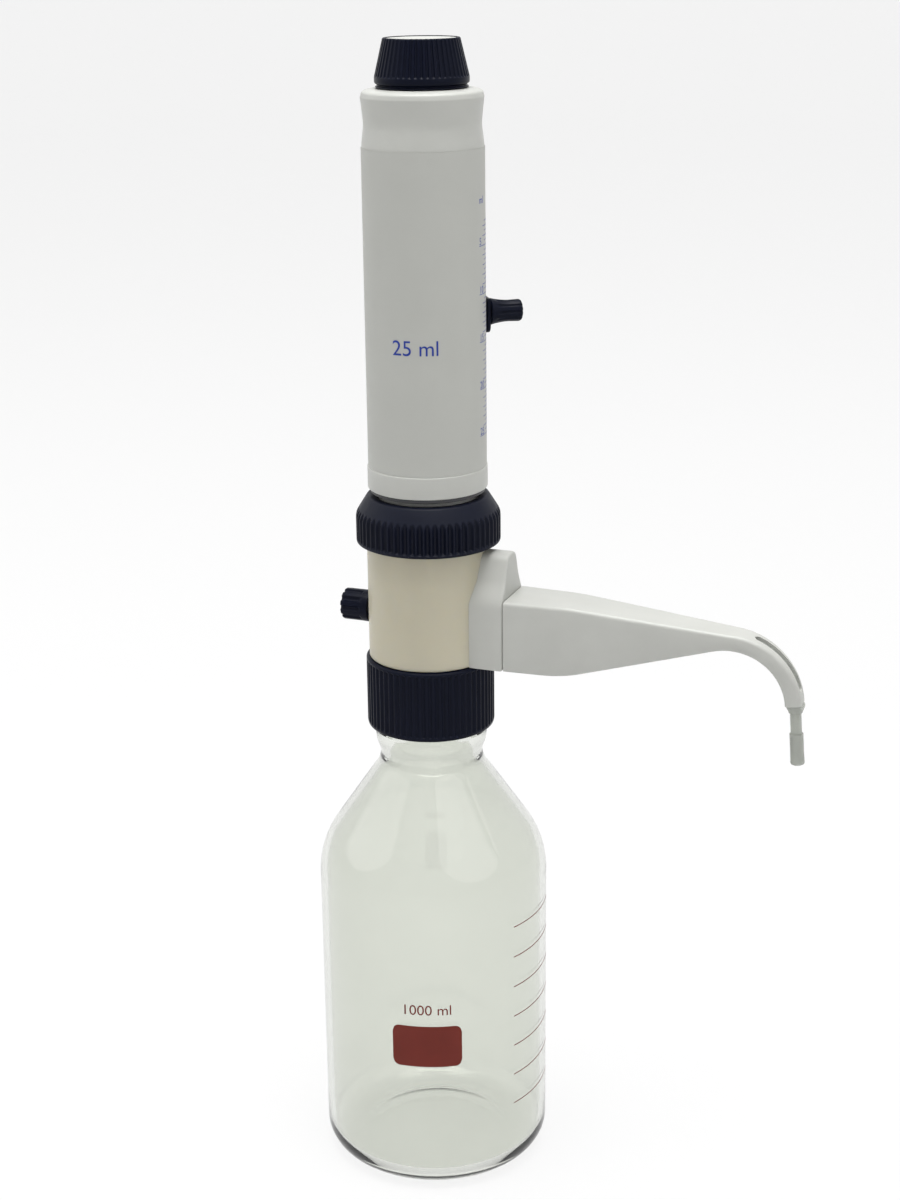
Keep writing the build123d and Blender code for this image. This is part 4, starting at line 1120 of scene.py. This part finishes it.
class DISPENSER_OT_scale(bpy.types.Operator):
    """Print the scale beside the slot and the full volume on the front"""

    bl_idname = "dispenser.scale"
    bl_label = "Scale"

    def execute(self, context):
        film_r = outer("scale_film")[0]
        lift = 0.005 * MM
        radii = (film_r + lift, film_r + lift + sizes().mark_height)
        stroke, full_ml = 97.4 * MM, 25
        zero, per_ml = SETTING_LEVEL + stroke / 2, stroke / full_ml
        edge = SLIDE_TURN - math.radians(5.0)
        half_line, long_tick, ml_tick, half_tick = 0.13 * MM, 34.5, 27.0, 22.0
        ticks = bmesh.new()
        for half_ml in range(5, 2 * full_ml + 1):
            reach = long_tick if half_ml % 10 == 0 else ml_tick if half_ml % 2 == 0 else half_tick
            level = zero - per_ml * half_ml / 2
            turns = (edge - math.radians(reach), edge)
            curved_block(ticks, radii, turns, [(level - half_line, level + half_line)] * 13)
        piece("scale_ticks", ticks, "sleeve", "blue_print")

        numbers = bmesh.new()
        start, number_size = edge - math.radians(long_tick), 4.2 * MM
        for value in range(5, full_ml + 1, 5):
            level = zero - per_ml * value + 0.45 * MM
            lettering(numbers, str(value), number_size, radii, start, level)
        lettering(numbers, "ml", number_size, radii, start, zero - 2.6 * MM)
        piece("scale_numbers", numbers, "sleeve", "blue_print")

        volume = bmesh.new()
        volume_size, volume_turn, volume_level = 8.8 * MM, math.radians(-78), 371.2 * MM
        thicker = (film_r + 0.05 * MM, film_r + 0.09 * MM)
        lettering(volume, "25 ml", volume_size, thicker, volume_turn, volume_level, "CENTER")
        piece("volume_words", volume, "sleeve", "blue_print")
        return {"FINISHED"}


class DISPENSER_OT_volume_clamp(bpy.types.Operator):
    """Make the pointer plate and the fluted clamp knob"""

    bl_idname = "dispenser.volume_clamp"
    bl_label = "Pointer and clamp knob"

    def execute(self, context):
        s = sizes()
        low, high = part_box("volume_pointer")
        plate_in, plate_out, neck_in = 25.15 * MM, 26.65 * MM, 22.65 * MM
        half_w, down, up = 4.5 * MM, low.z - SETTING_LEVEL, high.z - SETTING_LEVEL
        foot_r, top_r = 3.2 * MM, 0.6 * MM
        outline = []
        for x, y, corner, start in (
            (-half_w, down, foot_r, 180),
            (-half_w, up, top_r, 90),
            (half_w, up, top_r, 0),
            (half_w, down, foot_r, -90),
        ):
            centre = (x - math.copysign(corner, x), y - math.copysign(corner, y))
            outline += reversed(arc(centre, corner, math.radians(start), math.pi / 2, 8))
        # How far in, and at which radius, each ring of the plate's rounded edges lies
        edges = ((0.25, plate_in), (0, plate_in + 0.25 * MM), (0, plate_out - 0.45 * MM))
        edges += ((0.13, plate_out - 0.13 * MM), (0.45, plate_out))
        plate = skinned([beside_slot(inset_ring(outline, inset * MM), r) for inset, r in edges])
        neck = rounded_slot(1.5 * MM, 4.5 * MM)
        skinned([beside_slot(neck, neck_in), beside_slot(neck, plate_in)], plate)
        piece("volume_pointer_plate", plate, "volume_slide", "navy_plastic", ["volume_pointer"])

        place = Matrix.Translation((0, 0, SETTING_LEVEL))
        place = place @ Matrix.Rotation(SLIDE_TURN, 4, "Z") @ Matrix.Rotation(math.pi / 2, 4, "Y")
        start, length, flare = 26.95 * MM, 13.6 * MM, 7.6 * MM
        base, waist, end, edge = 5.5 * MM, 4.4 * MM, 4.55 * MM, 1.4 * MM
        bore, bore_end, chamfer = 1.55 * MM, start + 8.05 * MM, 0.4 * MM
        body = [(bore, start), (base - chamfer, start), (base, start + chamfer)]
        for k in range(1, 13):
            t = k / 12
            body.append((waist + (base - waist) * (1 - t) ** 1.8, start + chamfer + flare * t))
        straight = length - flare - chamfer - edge
        for k in range(1, 5):
            t = k / 4
            body.append((waist + (end - waist) * t, start + chamfer + flare + straight * t))
        body += arc((end - edge, start + length - edge), edge, 0, math.pi / 2, 6)[1:]
        body += [(0, start + length), (0, bore_end), (bore, bore_end)]

        def cut(turn, r, height):
            """Flutes that start above the knob's foot."""
            solid, full = 2.5 * MM, 4.2 * MM
            if r < solid:
                return r
            along = ease(height, start + 1.6 * MM, start + 4.2 * MM)
            return r - 0.5 * MM * along * ease(r, solid, full) * groove(turn, s.knob_lobes, 0.5)

        knob = turned(body, s.knob_lobes * 20, cut)
        piece("volume_knob_fluted", knob, "volume_knob", "navy_plastic", ["volume_knob"], place)
        return {"FINISHED"}


class DISPENSER_OT_top_cap(bpy.types.Operator):
    """Make the ribbed cap with the light disc in its top"""

    bl_idname = "dispenser.top_cap"
    bl_label = "Top cap"

    def execute(self, context):
        s = sizes()
        band, low, high = outer("top_cap")
        disc_r, disc_low, disc_high = outer("cap_disc")
        top_r, boss, hollow, ribbed = 15.4 * MM, 14.08 * MM, 11.0 * MM, 14.7 * MM
        skirt, neck, boss_top = 18.6 * MM, 17.9 * MM, low + 5.8 * MM
        seat_r, seat = disc_r + FIT_GAP, disc_low - FIT_GAP
        ceiling = seat - 2.4 * MM
        outline = soften(
            [
                (boss, low),
                (skirt, low, 0.3 * MM),
                (skirt, low + 0.5 * MM, 0.2 * MM),
                (neck, low + 0.9 * MM, 0.1 * MM),
                (neck, low + 1.1 * MM, 0.1 * MM),
                (band, low + 1.9 * MM, 0.5 * MM),
                (band, low + 4.0 * MM, 0.3 * MM),
                (top_r, high, 0.9 * MM),
                (seat_r, high, 0.25 * MM),
                (seat_r, seat),
                (0, seat),
                (0, ceiling),
                (hollow, ceiling),
                (hollow, boss_top),
                (boss, boss_top),
            ],
            0.3 * MM,
        )
        levels = steps_between(low + 3.9 * MM, low + 5.6 * MM, 8)
        levels += steps_between(low + 7 * MM, high - 1 * MM, 6)

        def cut(turn, r, height):
            """Grooves that start above the plain band."""
            if r < ribbed:
                return r
            along = ease(height, low + 4.1 * MM, low + 4.9 * MM)
            return r - s.cap_groove * along * groove(turn, s.cap_ribs, 0.6)

        cap = turned(rows(outline, levels), s.cap_ribs * 10, cut)
        piece("top_cap_ribbed", cap, "top_cap", "navy_plastic", ["top_cap"])
        disc = [(0, disc_low), (disc_r, disc_low), (disc_r, disc_high, 0.3 * MM), (0, disc_high)]
        piece("cap_disc_plate", turned(soften(disc, 0.05 * MM), 192), "top_cap", "grey_plastic", ["cap_disc"])
        return {"FINISHED"}


class DISPENSER_OT_inner_parts(bpy.types.Operator):
    """Give every part that keeps its CAD shape its own finish"""

    bl_idname = "dispenser.inner_parts"
    bl_label = "Inner parts"

    def execute(self, context):
        slots = {entry["node"]: entry["material_slot"] for entry in frame["record"]["subparts"]}
        for name, shape in frame["nodes"].items():
            shape.data.materials.clear()
            shape.data.materials.append(finish_for(slots[name]))
        return {"FINISHED"}


class DISPENSER_OT_stage(bpy.types.Operator):
    """Set up the floor, the lamps, the world and the camera"""

    bl_idname = "dispenser.stage"
    bl_label = "Stage"

    def execute(self, context):
        self.camera()
        self.floor()
        self.lamps()
        self.world()
        context.scene.view_settings.view_transform = "Standard"
        return {"FINISHED"}

    def camera(self):
        """Camera at the viewing angle of a front three-quarter view, looking down at the object."""
        away, height, azimuth = 0.833, 0.535, math.radians(22)
        sensor, focal_pixels, frame_pixels = 36.0, 2045, 900
        pitch, yaw, roll = math.radians(18.26), math.radians(0.602), math.radians(-0.664)
        ahead = Vector((math.sin(yaw) * math.cos(pitch), math.cos(yaw) * math.cos(pitch), -math.sin(pitch)))
        right = Vector((math.cos(yaw), -math.sin(yaw), 0))
        up = right.cross(ahead)
        side = right * math.cos(roll) + up * math.sin(roll)
        top = up * math.cos(roll) - right * math.sin(roll)
        turn = Matrix.Rotation(azimuth, 3, "Z")
        basis = Matrix((turn @ side, turn @ top, turn @ -ahead)).transposed()
        data = bpy.data.cameras.new("camera")
        data.sensor_fit = "HORIZONTAL"
        data.sensor_width = sensor
        data.lens = sensor * focal_pixels / frame_pixels
        data.clip_start, data.clip_end = 0.01, 60.0
        made = placed("camera", data)
        made.matrix_world = Matrix.Translation(turn @ Vector((0, -away, height))) @ basis.to_4x4()
        bpy.context.scene.camera = made

    def floor(self):
        """A pale sheet that lies flat under the object and sweeps up far behind it on every side."""
        reach, sweep, top, spokes, below = sizes().floor_reach, 1, 5.0, 96, 0.0002
        flat = reach - sweep
        outline = [(0.25, 0), (0.6, 0), (1.2, 0), (2.4, 0), (flat, 0)]
        outline += arc((flat, sweep), sweep, -math.pi / 2, math.pi / 2, 12)[1:] + [(reach, top)]
        mesh = bmesh.new()
        hub = mesh.verts.new((0, 0, 0))
        turns = [FULL_TURN * k / spokes for k in range(spokes)]
        rings = [[mesh.verts.new((r * math.cos(t), r * math.sin(t), z)) for t in turns] for r, z in outline]
        for k in range(spokes):
            mesh.faces.new((hub, rings[0][k], rings[0][(k + 1) % spokes]))
        bridge(mesh, rings[::-1])
        for face in mesh.faces:
            face.smooth = True
        data = bpy.data.meshes.new("floor")
        mesh.to_mesh(data)
        mesh.free()
        made = placed("floor", data)
        made.location.z = -below
        data.materials.append(self.floor_finish())

    def floor_finish(self):
        """Matt white that shows nearly white to the eye and still takes the object's shadow."""
        finish = bpy.data.materials.new("floor_white")
        tree, out = empty_tree(finish, "ShaderNodeOutputMaterial")
        matt = node(tree, "ShaderNodeBsdfDiffuse")
        tint(tree, mottle(tree, 3.0), (0.86, 0.86, 0.86), 0.01, matt.inputs["Color"])
        glow = node(tree, "ShaderNodeEmission", Color=(1, 1, 1, 1), Strength=1.0)
        share = node(tree, "ShaderNodeMath", operation="MULTIPLY")
        share.inputs[1].default_value = 0.85
        tree.links.new(eye_rays(tree), share.inputs[0])
        mixed(tree, share.outputs[0], matt.outputs["BSDF"], glow.outputs["Emission"], out)
        return finish

    def lamps(self):
        """Large soft lamps: key from the right, fill from the left, and the brightest overhead."""
        aim_level = 0.25
        for name, azimuth, elevation, away, size, power in (
            ("key_lamp", 70, 38, 2.0, 2.4, 9),
            ("fill_lamp", -70, 35, 2.0, 2.4, 9),
            ("top_lamp", 20, 86, 1.9, 1.6, 44),
        ):
            a, e = math.radians(azimuth), math.radians(elevation)
            spot = Vector((math.sin(a) * math.cos(e), -math.cos(a) * math.cos(e), math.sin(e))) * away
            spot.z += aim_level
            data = bpy.data.lights.new(name, "AREA")
            data.shape, data.size, data.energy = "DISK", size, power
            aim = (Vector((0, 0, aim_level)) - spot).to_track_quat("-Z", "Y")
            placed(name, data).matrix_world = Matrix.Translation(spot) @ aim.to_matrix().to_4x4()

    def world(self):
        """Even white surroundings, dimmer as light than they look."""
        world = bpy.data.worlds.new("surroundings")
        bpy.context.scene.world = world
        tree, out = empty_tree(world, "ShaderNodeOutputWorld")
        light = node(tree, "ShaderNodeBackground", Color=(1, 1, 1, 1), Strength=0.33)
        seen = node(tree, "ShaderNodeBackground", Color=(1, 1, 1, 1), Strength=1.0)
        mixed(tree, eye_rays(tree), light.outputs["Background"], seen.outputs["Background"], out)


class DISPENSER_PT_panel(bpy.types.Panel):
    """Sidebar panel with every step and setting of the dispenser"""

    bl_idname = "DISPENSER_PT_panel"
    bl_label = "Dispenser"
    bl_space_type = "VIEW_3D"
    bl_region_type = "UI"
    bl_category = "Dispenser"

    def draw(self, context):
        for settings in (context.scene.dispenser_sizes, context.scene.dispenser_colours):
            column = self.layout.column()
            for name in settings.bl_rna.properties.keys():
                if name not in {"rna_type", "name"}:
                    column.prop(settings, name)
        for step in STEPS:
            self.layout.operator(step.bl_idname)


STEPS = (
    DISPENSER_OT_stage,
    DISPENSER_OT_inner_parts,
    DISPENSER_OT_bottle,
    DISPENSER_OT_bottle_nut,
    DISPENSER_OT_valve_block,
    DISPENSER_OT_union_nut,
    DISPENSER_OT_arm,
    DISPENSER_OT_discharge,
    DISPENSER_OT_valve_knob,
    DISPENSER_OT_sleeve,
    DISPENSER_OT_scale,
    DISPENSER_OT_volume_clamp,
    DISPENSER_OT_top_cap,
)
CLASSES = (DispenserColours, DispenserSizes, *STEPS, DISPENSER_PT_panel)


def register():
    """Add the settings, the operators and the panel."""
    for each in CLASSES:
        bpy.utils.register_class(each)
    bpy.types.Scene.dispenser_sizes = bpy.props.PointerProperty(type=DispenserSizes)
    bpy.types.Scene.dispenser_colours = bpy.props.PointerProperty(type=DispenserColours)


def unregister():
    """Remove what register added."""
    del bpy.types.Scene.dispenser_colours
    del bpy.types.Scene.dispenser_sizes
    for each in reversed(CLASSES):
        bpy.utils.unregister_class(each)


def main():
    """Register, then run every step in order."""
    register()
    for step in STEPS:
        group, name = step.bl_idname.split(".")
        getattr(getattr(bpy.ops, group), name)()


if __name__ == "__main__":
    main()
